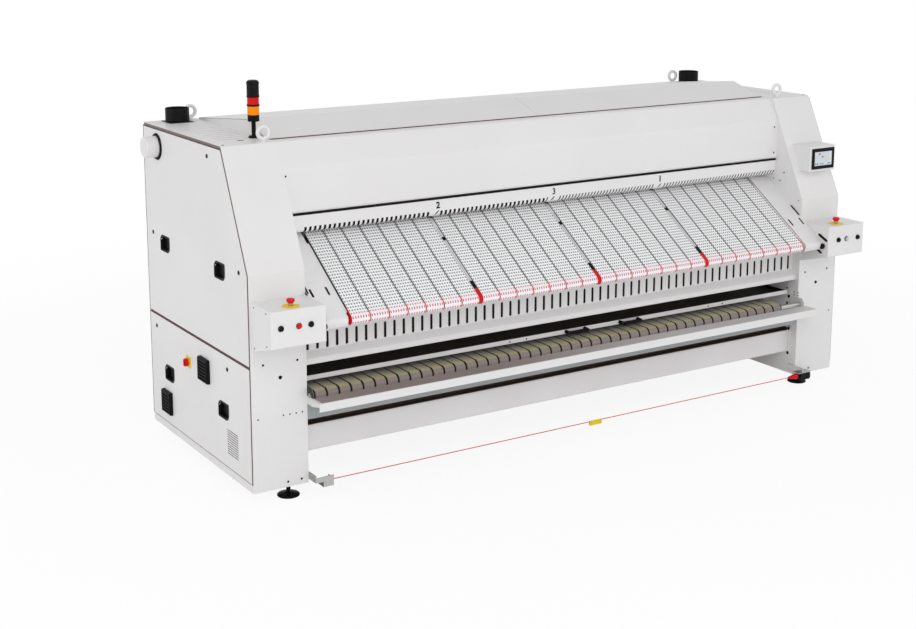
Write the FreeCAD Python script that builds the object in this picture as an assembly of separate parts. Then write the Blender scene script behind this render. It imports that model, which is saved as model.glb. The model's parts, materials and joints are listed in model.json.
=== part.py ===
"""Flatwork ironer with one heated cylinder, fed and emptied at the front.

Linen is laid on the sloping feed belts, goes in under the finger guard, round the hot
cylinder between it and the ironing belts, and comes back out on the exit belts.

Millimetres. While the pieces are drawn, x runs from the middle plane to the right, y runs
back from the front of the legs and z is up from the floor. The last step moves everything
so that the origin is the middle of the bottom of the whole machine's box.
"""
import FreeCAD
import Part
import math
import os

V = FreeCAD.Vector
SIDES = 16                   # flats round a turned piece
FEW_SIDES = 12               # and round a smaller one
SMALL_SIDES = 10             # and round a hand-sized or hidden one
BORE_SIDES = 8               # and round bores and thin bars

# ---- driving dimensions ---------------------------------------------------------------
HALF_WIDTH = 2139.0          # middle plane to the outside of a side panel
INNER = 1810.0               # middle plane to the inner wall of a tower
DEPTH = 1437.0               # front of the legs to the rear covers
LEG_BOTTOM = 76.0
TOWER_TOP = 1906.0
BEND_Z = 1265.0              # where a tower's front starts to lean back
BEND_TOP_Y = 309.0           # how far back it has leaned at the top
SHEET = 2.0                  # cover sheet
TUBE = 50.0                  # frame tube
FRAME_INSET = 4.0            # tower outline to the frame tubes

PANEL_BOTTOM = 126.0
PANEL_SPLIT = 768.0
PANEL_TOP = 1889.0
PANEL_GAP = 7.0
HANDLE_CUP = (125.0, 80.0, 24.0)     # length, height and depth of a pull recess
HANDLE_Y = (362.0, 1148.0)
HANDLE_Z = (440.0, 1224.0)           # in the lower and in the upper panels
LOUVRE = (250.0, 277.0)              # middle of the slotted field, y and z
VENT_COUNT = 11                      # slots in a tower top
VENT_Y = 510.0
VENT_PITCH = 68.0
ISOLATOR = (848.0, 590.0)

FEED_WIDTH = 3300.0
FEED_NOSE = (-185.0, 1029.0)         # start of the flat run of the feed belts
FEED_TOP = (340.0, 1374.0)           # where it goes in under the guard
FEED_LANES = 4
BANDS_PER_LANE = 7
LANE_STRIP = 22.0                    # gap between two lanes
BAND_GAP = 5.0
BELT = 3.0
BELT_GAP = 1.2                       # belt to roller
NOSE_R = 30.0                        # over the belt
FEED_DRIVE_R = 45.0                  # over the belt
FEED_DRIVE_Y = 360.0                 # where the flat run meets the drive roller

CYLINDER = (840.0, 1150.0)           # y and z of its axis
CYLINDER_R = 400.0
CYLINDER_WALL = 12.0
CYLINDER_HALF = 1690.0
JOURNAL_R = 45.0
JOURNAL_BORE_R = 31.0
IRONING_BELT = 4.0
GUIDE_R = 45.0
NIP_ANGLE = 128.0                    # of the nip and delivery rollers, from straight back
REAR_UPPER = (1180.0, 1650.0)
REAR_LOWER = (1290.0, 700.0)

EXIT_FRONT = (-25.0, 572.0)
EXIT_REAR = (600.0, 572.0)
EXIT_R = 33.0                        # over the belt
EXIT_PITCH = 73.9
EXIT_BAND = 65.0
EXIT_COUNT = 46
EXIT_MIDDLE = -92.5                  # the belts stand nearer the left tower
EXIT_HALF = 1706.0                   # half the length of an exit roller's body

SHAFT_R = 15.0
NOSE_SHAFT_R = 10.0
RUNNING_FIT = 0.06

APRON_SLOT = (14.0, 88.0, 60.0)      # width, height, pitch
APRON_SLOTS = 60
APRON_SLOT_Z = 842.0
TRAY_TOP = 566.0
TRAY_FRONT = -165.0
TRAY_HALF = 1819.0
DRAWER_Z = (620.0, 646.0)
DRAWER_Y = (86.0, 400.0)
BEAM_Z = (222.0, 372.0)

BOX_FRONT = -245.0                   # control boxes
BOX_Z = (930.0, 1126.0)
BOX_X = (1812.0, 2127.0)
BUTTON_Z = 1035.0
LEFT_BUTTONS = (-2071.0, -1969.0, -1900.0)
RIGHT_BUTTONS = (1901.0, 1974.0, 2075.0)
STOP_X = (-1982.0, 1942.0)
STOP_Y = -178.0
STEM_R = 9.0                 # of buttons and stop heads

SCREEN_X = (1865.0, 2092.0)
SCREEN_Z = (1446.0, 1612.0)

RIDGE = (690.0, 1984.0)
ROOF_REAR = (1382.0, 1915.0)
COVER_TOP = (330.0, 1903.0)
COVER_BEND = (258.0, 1763.0)
COVER_BOTTOM = (255.0, 1508.0)
GUARD_PIVOT = (262.0, 1490.0)
PIVOT_R = 5.0

SPIGOT = (1963.0, 1335.0)            # x and y of an exhaust spigot
SPIGOT_R = 70.0
SPIGOT_HEIGHT = 82.0
DUCT = (1222.0, 1787.0)              # y and z of the stub in the left side
DUCT_REACH = 80.0
EYES = ((1874.0, 340.0), (1860.0, 1390.0))
FEET = ((1900.0, 70.0), (1900.0, 1367.0))
FOOT_R = 62.0
LIGHT = (-1855.0, 500.0)

CORD_Y = -45.0
CORD_Z = 85.0
CORD_R = 2.5
CORD_ENDS = (-1699.0, 1712.0)
PLUNGER_STEM_R = 9.0

parts = {}


# ---- helpers --------------------------------------------------------------------------
def box(x0, x1, y0, y1, z0, z1):
    """A block between two corners."""
    return Part.makeBox(x1 - x0, y1 - y0, z1 - z0, V(x0, y0, z0))


def corner(radius, sides, index):
    """One corner of a regular polygon that has flats at top, bottom and both sides."""
    angle = 2 * math.pi * (index + 0.5) / sides
    return radius * math.cos(angle), radius * math.sin(angle)


def bar(place, along, length, radius, sides):
    """A bar of regular section from a place, its corners on the radius."""
    corners = [V(*corner(radius, sides, index), 0) for index in range(sides)]
    solid = Part.Face(Part.makePolygon(corners + corners[:1])).extrude(V(0, 0, length))
    solid.Placement = FreeCAD.Placement(V(*place), FreeCAD.Rotation(V(0, 0, 1), V(*along)))
    return solid


def bar_x(place, radius, x0, x1, sides=SIDES):
    """A bar along x about the point (y, z)."""
    return bar((x0, place[0], place[1]), (1, 0, 0), x1 - x0, radius, sides)


def bar_y(x, z, radius, y0, y1, sides=SIDES):
    """A bar along y."""
    return bar((x, y0, z), (0, 1, 0), y1 - y0, radius, sides)


def bar_z(x, y, radius, z0, z1, sides=SIDES):
    """A bar along z."""
    return bar((x, y, z0), (0, 0, 1), z1 - z0, radius, sides)


def flats(radius, sides):
    """Corner radius of a polygon whose flats are at a radius, for holes round a shaft."""
    return radius / math.cos(math.pi / sides)


def rod_x(place, radius, x0, x1):
    """A round bar along x about the point (y, z)."""
    return Part.makeCylinder(radius, x1 - x0, V(x0, place[0], place[1]), V(1, 0, 0))


def rod_z(x, y, radius, z0, z1):
    """A round bar along z."""
    return Part.makeCylinder(radius, z1 - z0, V(x, y, z0), V(0, 0, 1))


def fuse(shapes):
    """One solid from several that share faces or volume."""
    whole = shapes[0].multiFuse(shapes[1:])
    return whole.removeSplitter()


def cut(shape, tools):
    """A solid less several others."""
    return shape.cut(Part.makeCompound(tools))


def mirror(shape):
    """The same piece on the other side of the middle plane."""
    return shape.mirror(V(0, 0, 0), V(1, 0, 0))


def outline_x(points, x0, x1):
    """A closed outline of (y, z) points carried from x0 to x1."""
    corners = [V(x0, y, z) for y, z in points]
    face = Part.Face(Part.makePolygon(corners + corners[:1]))
    return face.extrude(V(x1 - x0, 0, 0))


def turned(profile, place, axis, sides=SIDES):
    """A closed (radius, height) outline turned in flats about an axis through a place."""
    faces = []
    for a, b in zip(profile, profile[1:] + profile[:1]):
        rings = [[V(*corner(p[0], sides, i), p[1]) for i in range(sides)] for p in (a, b)]
        if a[1] == b[1]:
            wide = sorted(((p[0], ring) for p, ring in zip((a, b), rings) if p[0] > 0), reverse=True,
                          key=lambda pair: pair[0])
            faces.append(Part.Face([Part.makePolygon(ring + ring[:1]) for _, ring in wide]))
            continue
        for i in range(sides if a[0] > 0 or b[0] > 0 else 0):
            quad = [rings[0][i], rings[0][i - 1], rings[1][i - 1], rings[1][i]]
            faces.append(Part.Face(Part.makePolygon(quad + quad[:1])))
    solid = Part.Solid(Part.Shell(faces))
    if solid.Volume < 0:
        solid.reverse()
    solid.Placement = FreeCAD.Placement(V(*place), FreeCAD.Rotation(V(0, 0, 1), V(*axis)))
    return solid


def unit(a, b):
    """Direction from one (y, z) point to another."""
    length = math.dist(a, b)
    return ((b[0] - a[0]) / length, (b[1] - a[1]) / length)


def moved(point, direction, distance):
    """A (y, z) point taken along a direction."""
    return (point[0] + direction[0] * distance, point[1] + direction[1] * distance)


def left_of(direction):
    """The direction turned a quarter turn to the left."""
    return (-direction[1], direction[0])


def beside(points, distance):
    """An open (y, z) path moved to its left, with mitred corners."""
    out = [moved(points[0], left_of(unit(points[0], points[1])), distance)]
    for a, b, c in zip(points, points[1:], points[2:]):
        n1 = left_of(unit(a, b))
        n2 = left_of(unit(b, c))
        share = distance / (1 + n1[0] * n2[0] + n1[1] * n2[1])
        out.append((b[0] + (n1[0] + n2[0]) * share, b[1] + (n1[1] + n2[1]) * share))
    out.append(moved(points[-1], left_of(unit(points[-2], points[-1])), distance))
    return out


def rounded(points, radii, steps):
    """An open (y, z) path with each corner drawn as a few chords of its arc."""
    out = [points[0]]
    for a, b, c, radius in zip(points, points[1:], points[2:], radii):
        into, leave = unit(a, b), unit(b, c)
        side = 1 if into[0] * leave[1] - into[1] * leave[0] > 0 else -1
        turn = math.acos(max(-1, min(1, into[0] * leave[0] + into[1] * leave[1])))
        first = moved(b, into, -radius * math.tan(turn / 2))
        centre = moved(first, left_of(into), side * radius)
        begin = math.atan2(first[1] - centre[1], first[0] - centre[0])
        for step in range(steps + 1):
            angle = begin + side * turn * step / steps
            out.append((centre[0] + radius * math.cos(angle), centre[1] + radius * math.sin(angle)))
    return out + [points[-1]]


def folded(points, x0, x1, bend=6.0, thick=SHEET, steps=2):
    """Sheet bent along an open (y, z) path and carried from x0 to x1.

    The path is one face of the sheet, which is thick to its left; each bend has the given
    radius on its middle line.
    """
    signs = []
    for a, b, c in zip(points, points[1:], points[2:]):
        u, w = unit(a, b), unit(b, c)
        signs.append(1 if u[0] * w[1] - u[1] * w[0] > 0 else -1)
    near = rounded(points, [bend + sign * thick / 2 for sign in signs], steps)
    far = rounded(beside(points, thick), [bend - sign * thick / 2 for sign in signs], steps)
    return outline_x(near + far[::-1], x0, x1)


def belt_line(pulleys, offset):
    """Closed line round pulleys (y, z, radius, corners), taken anticlockwise.

    A pulley with a negative radius is outside the loop and pushes it in. Each wrap is drawn as
    equal turns outside the pulley, so the line never cuts into it.
    """
    out = []
    runs = []
    for first, second in zip(pulleys, pulleys[1:] + pulleys[:1]):
        dy, dz = second[0] - first[0], second[1] - first[1]
        grow = (second[2] - first[2]) / math.hypot(dy, dz)
        runs.append(math.atan2(dz, dy) + math.acos(grow))
    for index, pulley in enumerate(pulleys):
        radius = pulley[2] + offset
        start, end = runs[index - 1] + math.pi, runs[index] + math.pi
        sweep = (end - start) % (2 * math.pi)
        if radius < 0:
            sweep = sweep - 2 * math.pi
        for step in range(pulley[3]):
            angle = start + sweep * (step + 0.5) / pulley[3]
            reach = radius / math.cos(sweep / pulley[3] / 2)
            out.append((pulley[0] + reach * math.cos(angle), pulley[1] + reach * math.sin(angle)))
    return out


def belt_loop(pulleys, thick, x0, x1):
    """A closed belt of the given thickness outside the line round its pulleys."""
    faces = []
    for offset in (thick, 0.0):
        corners = [V(x0, y, z) for y, z in belt_line(pulleys, offset)]
        faces.append(Part.makePolygon(corners + corners[:1]))
    return Part.Face(faces).extrude(V(x1 - x0, 0, 0))


def roller(place, radius, half, shaft_half, shaft=SHAFT_R, sides=SMALL_SIDES, middle=0.0):
    """A guide roller with a thinner shaft at each end; middle is where its body is centred."""
    left, right = middle - half, middle + half
    profile = [(0, -shaft_half), (shaft, -shaft_half), (shaft, left), (radius, left),
               (radius, right), (shaft, right), (shaft, shaft_half), (0, shaft_half)]
    return turned(profile, (0, place[0], place[1]), (1, 0, 0), sides)


# ---- places worked out from the driving dimensions ---------------------------------------
SLOPE = unit(FEED_NOSE, FEED_TOP)
FEED_UP = left_of(SLOPE)


def on_feed(along, above):
    """A (y, z) point that far up the feed run from the nose, and above the belts."""
    return moved(moved(FEED_NOSE, SLOPE, along), FEED_UP, above)


FEED_DRIVE_ALONG = (FEED_DRIVE_Y - FEED_NOSE[0]) / SLOPE[0]
NOSE_AXIS = on_feed(0, -NOSE_R)
FEED_AXIS = on_feed(FEED_DRIVE_ALONG, -FEED_DRIVE_R)
NIP_REACH = CYLINDER_R + BELT_GAP + IRONING_BELT + BELT_GAP + GUIDE_R
NIP_OFFSET = (NIP_REACH * math.cos(math.radians(NIP_ANGLE)),
              NIP_REACH * math.sin(math.radians(NIP_ANGLE)))
NIP_AXIS = (CYLINDER[0] + NIP_OFFSET[0], CYLINDER[1] + NIP_OFFSET[1])
DELIVERY_AXIS = (CYLINDER[0] + NIP_OFFSET[0], CYLINDER[1] - NIP_OFFSET[1])
GUIDES = (NIP_AXIS, REAR_UPPER, REAR_LOWER, DELIVERY_AXIS)
WALL_SHAFTS = GUIDES + (EXIT_REAR,)
TOWER_OUTLINE = [(0, LEG_BOTTOM), (DEPTH, LEG_BOTTOM), (DEPTH, TOWER_TOP),
                 (BEND_TOP_Y, TOWER_TOP), (0, BEND_Z)]


def inset(points, distance):
    """A closed anticlockwise (y, z) outline drawn in by a distance."""
    loop = [points[-1]] + points + [points[0]]
    return beside(loop, distance)[1:-1]


def lean_y(z):
    """How far back the front of a tower is at a height."""
    return max(0.0, (z - BEND_Z) / (TOWER_TOP - BEND_Z) * BEND_TOP_Y)


# ---- frame ------------------------------------------------------------------------------
def frame_ring(x0, x1):
    """One plane of a side frame: five mitred tubes that follow the tower's outline."""
    outer = inset(TOWER_OUTLINE, FRAME_INSET)
    inner = inset(TOWER_OUTLINE, FRAME_INSET + TUBE)
    return [outline_x([outer[i - 1], outer[i], inner[i], inner[i - 1]], x0, x1) for i in range(5)]


def side_frame():
    """Two rings of tube joined by cross tubes, each tube a solid that meets the next one."""
    ring_in, ring_out = (INNER + SHEET, INNER + SHEET + TUBE), (HALF_WIDTH - 56, HALF_WIDTH - 6)
    front, back = FRAME_INSET, DEPTH - FRAME_INSET - TUBE
    tubes = frame_ring(*ring_in) + frame_ring(*ring_out)
    tubes.append(box(*ring_in, front + TUBE, back, 610, 660))
    tubes.append(box(*ring_out, front + TUBE, back, 742, 792))
    places = [(front, LEG_BOTTOM + 4), (front, 690), (front, 1190), (back, LEG_BOTTOM + 4),
              (back, 690), (back, 1125), (back, 1852), (BEND_TOP_Y + 30, 1852)]
    for y, z in places:
        tubes.append(box(ring_in[1], ring_out[0], y, y + TUBE, z, z + TUBE))
    return Part.makeCompound(tubes)


def front_beam():
    """Channel between the legs, with a flange at each end."""
    low, high = BEAM_Z
    web = folded([(140, low), (75, low), (75, high), (140, high)], -INNER, INNER, 8.0, -4.0)
    plates = [box(*sorted((side * INNER, side * (INNER - 8))), 62, 160, low - 14, high + 14)
              for side in (-1, 1)]
    return fuse([web] + plates)


def cross_ties():
    """Rear channel, two roof tubes and the flat member under the exit belts."""
    rear = folded([(1345, 130), (1420, 130), (1420, 230), (1345, 230)], -INNER, INNER, 8.0, 4.0)
    top_front = box(-INNER, INNER, 440, 490, 1836, 1886)
    top_rear = box(-INNER, INNER, 1330, 1380, 1836, 1886)
    under = folded([(60, 425), (12, 425), (12, 512), (60, 512)], -INNER, INNER, 6.0, -3.0)
    return Part.makeCompound([rear, top_front, top_rear, under])


def tower_shell():
    """One bent cover: leg front, leaning front, louvred top and the inner wall beside it."""
    side = HALF_WIDTH - 3
    path = [(0, LEG_BOTTOM), (0, BEND_Z), (BEND_TOP_Y, TOWER_TOP), (DEPTH - SHEET, TOWER_TOP)]
    front = folded(path, INNER, side, 12.0, -SHEET)
    wall = outline_x(inset(TOWER_OUTLINE, SHEET / 2), INNER, INNER + SHEET)
    base = box(INNER, side, 0.5, DEPTH - 2, LEG_BOTTOM, LEG_BOTTOM + SHEET)
    rail = box(HALF_WIDTH - 6, side, 0.5, DEPTH - 2, LEG_BOTTOM, PANEL_BOTTOM - 6)
    holes = []
    for y, z in WALL_SHAFTS:
        holes.append(box(INNER - 1, INNER + 5, y - 22, y + 22, z - 22, z + 22))
    holes.append(bar_x(CYLINDER, flats(JOURNAL_R + 10, FEW_SIDES), INNER - 1, INNER + 5, FEW_SIDES))
    pivot = flats(PIVOT_R + RUNNING_FIT, BORE_SIDES)
    holes.append(bar_x(GUARD_PIVOT, pivot, INNER - 1, INNER + 5, BORE_SIDES))
    holes.append(bar_z(*SPIGOT, SPIGOT_R - 3, TOWER_TOP - 5, TOWER_TOP + 5, FEW_SIDES))
    for index in range(VENT_COUNT):
        y = VENT_Y + index * VENT_PITCH
        holes.append(box(INNER + 62, INNER + 252, y, y + 9, TOWER_TOP - 5, TOWER_TOP + 5))
    return cut(fuse([front, wall, base, rail]), holes)


# ---- side panels ------------------------------------------------------------------------
def panel_outline(z0, z1, gap):
    """Side view of a panel between two heights, drawn in from the tower's outline."""
    points = [(gap, z0), (DEPTH - gap, z0), (DEPTH - gap, z1), (lean_y(z1) + gap, z1)]
    if z1 > BEND_Z:
        points.append((gap, BEND_Z))
    return points


def recess_outline(y, z, grow):
    """Side view of a pull recess: an oblong with two opposite corners rounded."""
    long, high = HANDLE_CUP[0] / 2 + grow, HANDLE_CUP[1] / 2 + grow
    upper, lower = (y - long, z + high), (y + long, z - high)
    over = rounded([upper, (lower[0], upper[1]), lower], [30.0 + grow], 2)
    under = rounded([lower, (upper[0], lower[1]), upper], [30.0 + grow], 2)
    return (over[:-1] + under[:-1])[::-1]


def side_panel(z0, z1, handle_z):
    """Flat cover with returned edges and two pull recesses."""
    skin = outline_x(panel_outline(z0, z1, 3.0), HALF_WIDTH - SHEET, HALF_WIDTH)
    rim = outline_x(panel_outline(z0, z1, 3.0), HALF_WIDTH - 5.8, HALF_WIDTH - SHEET)
    hollow = outline_x(inset(panel_outline(z0, z1, 3.0), SHEET), HALF_WIDTH - 6, HALF_WIDTH - SHEET)
    deep = HALF_WIDTH - HANDLE_CUP[2]
    cups = [outline_x(recess_outline(y, handle_z, SHEET), deep - SHEET, HALF_WIDTH - 1)
            for y in HANDLE_Y]
    insides = [outline_x(recess_outline(y, handle_z, 0.0), deep, HALF_WIDTH + 1) for y in HANDLE_Y]
    return cut(fuse([skin, rim.cut(hollow)] + cups), insides)


def vent_slots():
    """Cutters for the slotted vent of the lower left panel."""
    slots = []
    for index in range(11):
        z = LOUVRE[1] + (index - 5) * 13.4
        slots.append(box(-HALF_WIDTH - 1, -HALF_WIDTH + 8, LOUVRE[0] - 73, LOUVRE[0] + 73,
                         z - 2.5, z + 2.5))
    return slots


def filter_box(y, z):
    """Hood of a fan filter, chamfered in front and with slanting slats."""
    wide, high, out = 65.0, 68.0, 24.0
    x = -HALF_WIDTH
    body = box(x - out, x, y - wide, y + wide, z - high, z + high)
    body = body.makeChamfer(7, [e for e in body.Edges if e.BoundBox.XMax < x - out + 0.1])
    gaps = []
    for index in range(6):
        low = z - high + 12 + index * 19
        corners = [V(x - out - 1, y - wide + 12, h) for h in (low, low + 11)]
        corners += [V(x - out + 14, y - wide + 12, h) for h in (low + 16, low + 5)]
        face = Part.Face(Part.makePolygon(corners + corners[:1]))
        gaps.append(face.extrude(V(0, 2 * (wide - 12), 0)))
    return cut(body, gaps)


def isolator_plate():
    """Square plate with the round seat of the main switch."""
    y, z = ISOLATOR
    plate = box(-HALF_WIDTH - 3, -HALF_WIDTH, y - 33, y + 33, z - 33, z + 33)
    return fuse([plate, bar_x(ISOLATOR, 20, -HALF_WIDTH - 8, -HALF_WIDTH - 3, FEW_SIDES)])


def isolator_handle():
    """Round handle with a grip bar across its sunk face."""
    y, z = ISOLATOR
    x = -HALF_WIDTH - 8.4
    disc = turned([(0, 0), (24, 0), (24, 14), (21, 18), (0, 18)], (x, y, z), (-1, 0, 0), FEW_SIDES)
    sunk = bar_x(ISOLATOR, 18, x - 19, x - 9, BORE_SIDES)
    grip = box(x - 24, x - 8, y - 6, y + 6, z - 20, z + 20)
    return fuse([disc.cut(sunk), grip])


# ---- things on the towers ---------------------------------------------------------------
def side_duct():
    """Capped stub in a rubber ring, through the upper left panel."""
    profile = [(0, -30), (60, -30), (62, 2), (75, 2), (75, 5), (71, 8), (62, 8), (62, DUCT_REACH - 5),
               (57, DUCT_REACH), (0, DUCT_REACH)]
    stub = turned(profile, (-HALF_WIDTH, *DUCT), (-1, 0, 0), FEW_SIDES)
    stay = box(-HALF_WIDTH + 8, -HALF_WIDTH + 30, DUCT[0] - 20, DUCT[0] + 20, DUCT[1] + 40, 1852)
    return fuse([stub, stay])


def spigot(side):
    """Open exhaust spigot on its square plate."""
    x, y = side * SPIGOT[0], SPIGOT[1]
    plate = box(x - 75, x + 75, y - 75, y + 75, TOWER_TOP, TOWER_TOP + 3)
    tube = rod_z(x, y, SPIGOT_R, TOWER_TOP + 3, TOWER_TOP + SPIGOT_HEIGHT)
    return fuse([plate, tube]).cut(bar_z(x, y, SPIGOT_R - 3, TOWER_TOP - 1, TOWER_TOP + 99, FEW_SIDES))


def lifting_eye(x, y):
    """Ring on the collar of its bolt."""
    collar = bar_z(x, y, 16, TOWER_TOP, TOWER_TOP + 9, 6)
    section = [(32, -10), (42, 0), (32, 10), (22, 0)]
    return fuse([collar, turned(section, (x, y, TOWER_TOP + 49), (0, 1, 0), SMALL_SIDES)])


def levelling_foot(x, y):
    """Levelling foot with its stem and lock nut."""
    pad = turned([(0, 0), (FOOT_R, 0), (FOOT_R, 7), (22, 20), (0, 20)], (x, y, 0), (0, 0, 1), SMALL_SIDES)
    return fuse([pad, bar_z(x, y, 12, 20, 58, 6), bar_z(x, y, 21, 58, LEG_BOTTOM, 6)])


def stack_light():
    """Base, pole, connection ring and cap of the signal light, without its lenses."""
    lower = [(0, 0), (29, 0), (29, 12), (12, 14), (12, 90), (32, 92), (32, 127), (10, 127), (10, 174),
             (35, 174), (35, 185), (10, 185), (10, 223), (35, 223), (35, 309), (28, 317), (0, 317)]
    return turned(lower, (*LIGHT, TOWER_TOP), (0, 0, 1), FEW_SIDES)


def lens(z0, z1):
    """One coloured ring of the signal light."""
    return turned([(10, z0), (33, z0), (33, z1), (10, z1)], (*LIGHT, TOWER_TOP), (0, 0, 1), FEW_SIDES)


# ---- controls ---------------------------------------------------------------------------
def control_box(side, buttons, stop_x):
    """Hollow box on the front of a leg, its floor rising to the front."""
    points = [(0, 862), (0, BOX_Z[1]), (BOX_FRONT, BOX_Z[1]), (BOX_FRONT, BOX_Z[0])]
    x0, x1 = sorted((side * BOX_X[0], side * BOX_X[1]))
    body = outline_x(points, x0, x1)
    body = body.makeChamfer(3, [e for e in body.Edges if e.BoundBox.YMax < BOX_FRONT + 0.1])
    inside = outline_x(inset(points, 5.0), x0 + 5, x1 - 5)
    hole = flats(STEM_R + 0.3, BORE_SIDES)
    holes = [bar_y(x, BUTTON_Z, hole, BOX_FRONT - 2, BOX_FRONT + 8, BORE_SIDES) for x in buttons]
    holes.append(bar_z(stop_x, STOP_Y, hole, BOX_Z[1] - 8, BOX_Z[1] + 2, BORE_SIDES))
    return cut(body, [inside] + holes)


def button(x):
    """Push button cap on its stem."""
    profile = [(0, 0), (STEM_R, 0), (STEM_R, 13), (13, 13), (13, 22), (0, 22)]
    return turned(profile, (x, BOX_FRONT + 9, BUTTON_Z), (0, -1, 0), SMALL_SIDES)


def stop_collar(x):
    """Round plate under a stop button."""
    profile = [(STEM_R + 1, 0), (46, 0), (46, 4), (STEM_R + 1, 4)]
    return turned(profile, (x, STOP_Y, BOX_Z[1]), (0, 0, 1), SMALL_SIDES)


def stop_head(x):
    """Mushroom head on its stem."""
    profile = [(0, -14), (STEM_R, -14), (STEM_R, 14), (14, 22), (22, 27), (22, 37), (16, 43), (0, 43)]
    return turned(profile, (x, STOP_Y, BOX_Z[1]), (0, 0, 1), SMALL_SIDES)


def touch_panel_box():
    """Housing of the touch screen, hung on the leaning front of the right tower."""
    z0, z1 = SCREEN_Z
    body = outline_x([(lean_y(z0), z0), (lean_y(z1), z1), (0, z1), (0, z0)], *SCREEN_X)
    return body.makeChamfer(4, [e for e in body.Edges if e.BoundBox.YMax < 0.1])


def touch_panel():
    """Bezel with its sunk glass."""
    bezel = box(1880, 2078, -7, 0, 1461, 1597)
    bezel = bezel.makeChamfer(2.5, [e for e in bezel.Edges if e.BoundBox.YMax < -6.9])
    return bezel.cut(box(1901, 2057, -8, -5.5, 1480, 1578))


# ---- covers -----------------------------------------------------------------------------
def front_cover():
    """Long bent cover over the feed, from the roof down to the guard."""
    path = [(COVER_BOTTOM[0] + 40, COVER_BOTTOM[1]), COVER_BOTTOM, COVER_BEND, COVER_TOP,
            (414, COVER_TOP[1]), (414, COVER_TOP[1] - 25)]
    return folded(path, -INNER, INNER, 14.0, -SHEET)


def roof_cover():
    """Half of the low roof, with the gusset that closes its outer end."""
    path = [(420, 1880), (420, 1901), RIDGE, ROOF_REAR, (ROOF_REAR[0], 1885)]
    sheet = folded(path, 1, INNER, 8.0, -SHEET, 1)
    gusset = outline_x([(424, 1890), (1378, 1890), (1378, ROOF_REAR[1] - 3), (RIDGE[0], RIDGE[1] - 4),
                        (424, 1898)], INNER - 3, INNER)
    return fuse([sheet, gusset])


def finger_guard():
    """Strip that closes the feed mouth, curled back along its lower edge, on two end pins."""
    strip = folded([(255, 1497), (254, 1404), (345, 1392)], -INNER + 2, INNER - 2, 20.0, SHEET, 4)
    y, z = GUARD_PIVOT
    pieces = [strip]
    for side in (-1, 1):
        reach = sorted((side * (INNER - 20), side * (INNER + 1.5)))
        pieces.append(bar_x(GUARD_PIVOT, PIVOT_R, *reach, BORE_SIDES))
        pieces.append(box(*sorted((side * (INNER - 20), side * (INNER - 2))), 256.5, y + 3, z - 6, z + 6))
    return fuse(pieces)


def rear_covers():
    """Two wide covers between the towers and one on the back of each tower."""
    wide = folded([(DEPTH - 22, 450), (DEPTH, 450), (DEPTH, 1880), (DEPTH - 22, 1880)],
                  1, INNER, 5.0, SHEET, 1)
    narrow = box(INNER + SHEET, HALF_WIDTH - 8, DEPTH - SHEET, DEPTH, 90, TOWER_TOP - 6)
    return Part.makeCompound([wide, mirror(wide), narrow, mirror(narrow)])


# ---- feed -------------------------------------------------------------------------------
def feed_bed():
    """Bed under the belts, arms that carry both rollers, and the slotted side plates."""
    half = FEED_WIDTH / 2
    under = BELT + BELT_GAP
    top = on_feed(0, 0)
    tilt = FreeCAD.Rotation(V(1, 0, 0), math.degrees(math.atan2(SLOPE[1], SLOPE[0])))
    pieces = [folded([on_feed(30, -under - 22), on_feed(30, -under), on_feed(560, -under),
                      on_feed(560, -under - 22)], -half - 4, half + 4, 4.0, -SHEET, 1)]
    for side in (-1, 1):
        arm = outline_x([on_feed(-8, -6), on_feed(-8, -54), on_feed(120, -74), on_feed(700, -110),
                         on_feed(700, -6)], *sorted((side * (half + 3), side * (half + 9))))
        wrap = [on_feed(-NOSE_R, -46), on_feed(-NOSE_R, 0), on_feed(660, 0)]
        plate = folded(wrap, *sorted((side * (half + 9), side * INNER)), 26.0, -SHEET, 4)
        slots = []
        for x in (1690, 1785):
            slot = box(side * x - 7, side * x + 7, 162, 222, -8, 8)
            slot.Placement = FreeCAD.Placement(V(0, *top), tilt)
            slots.append(slot)
        web = outline_x([on_feed(640, -80), on_feed(660, -80), on_feed(660, -1), on_feed(640, -1)],
                        *sorted((side * (half + 8), side * INNER)))
        pieces += [arm, cut(plate, slots), web]
    bores = []
    for place, shaft in ((NOSE_AXIS, NOSE_SHAFT_R), (FEED_AXIS, SHAFT_R)):
        bore = flats(shaft + RUNNING_FIT, BORE_SIDES)
        bores += [bar_x(place, bore, *sorted((side * (half - 20), side * (half + 12))), BORE_SIDES)
                  for side in (-1, 1)]
    return cut(fuse(pieces), bores)


def feed_belts():
    """Twenty-eight narrow belts in four lanes, on the nose and drive rollers."""
    lane = FEED_WIDTH / FEED_LANES
    pitch = (lane - LANE_STRIP) / BANDS_PER_LANE
    pulleys = [(*NOSE_AXIS, NOSE_R - BELT, 3), (*FEED_AXIS, FEED_DRIVE_R - BELT, 2)]
    first = belt_loop(pulleys, BELT, 0, pitch - BAND_GAP)
    belts = []
    for index in range(FEED_LANES * BANDS_PER_LANE):
        group, band = divmod(index, BANDS_PER_LANE)
        x = -FEED_WIDTH / 2 + group * lane + (LANE_STRIP + BAND_GAP) / 2 + band * pitch
        belts.append(first.translated(V(x, 0, 0)))
    return Part.makeCompound(belts)


def slotted_apron():
    """Plate below the nose with a long row of upright slots and a flared lower lip."""
    path = [(100, 1000), (65, 1000), (65, 792), (30, 757), (30, 727)]
    wide, high, pitch = APRON_SLOT
    slots = []
    for index in range(APRON_SLOTS):
        x = (index - (APRON_SLOTS - 1) / 2) * pitch
        slots.append(box(x - wide / 2, x + wide / 2, 55, 75, APRON_SLOT_Z - high / 2,
                         APRON_SLOT_Z + high / 2))
    return cut(folded(path, -INNER, INNER, 8.0, SHEET), slots)


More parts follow.
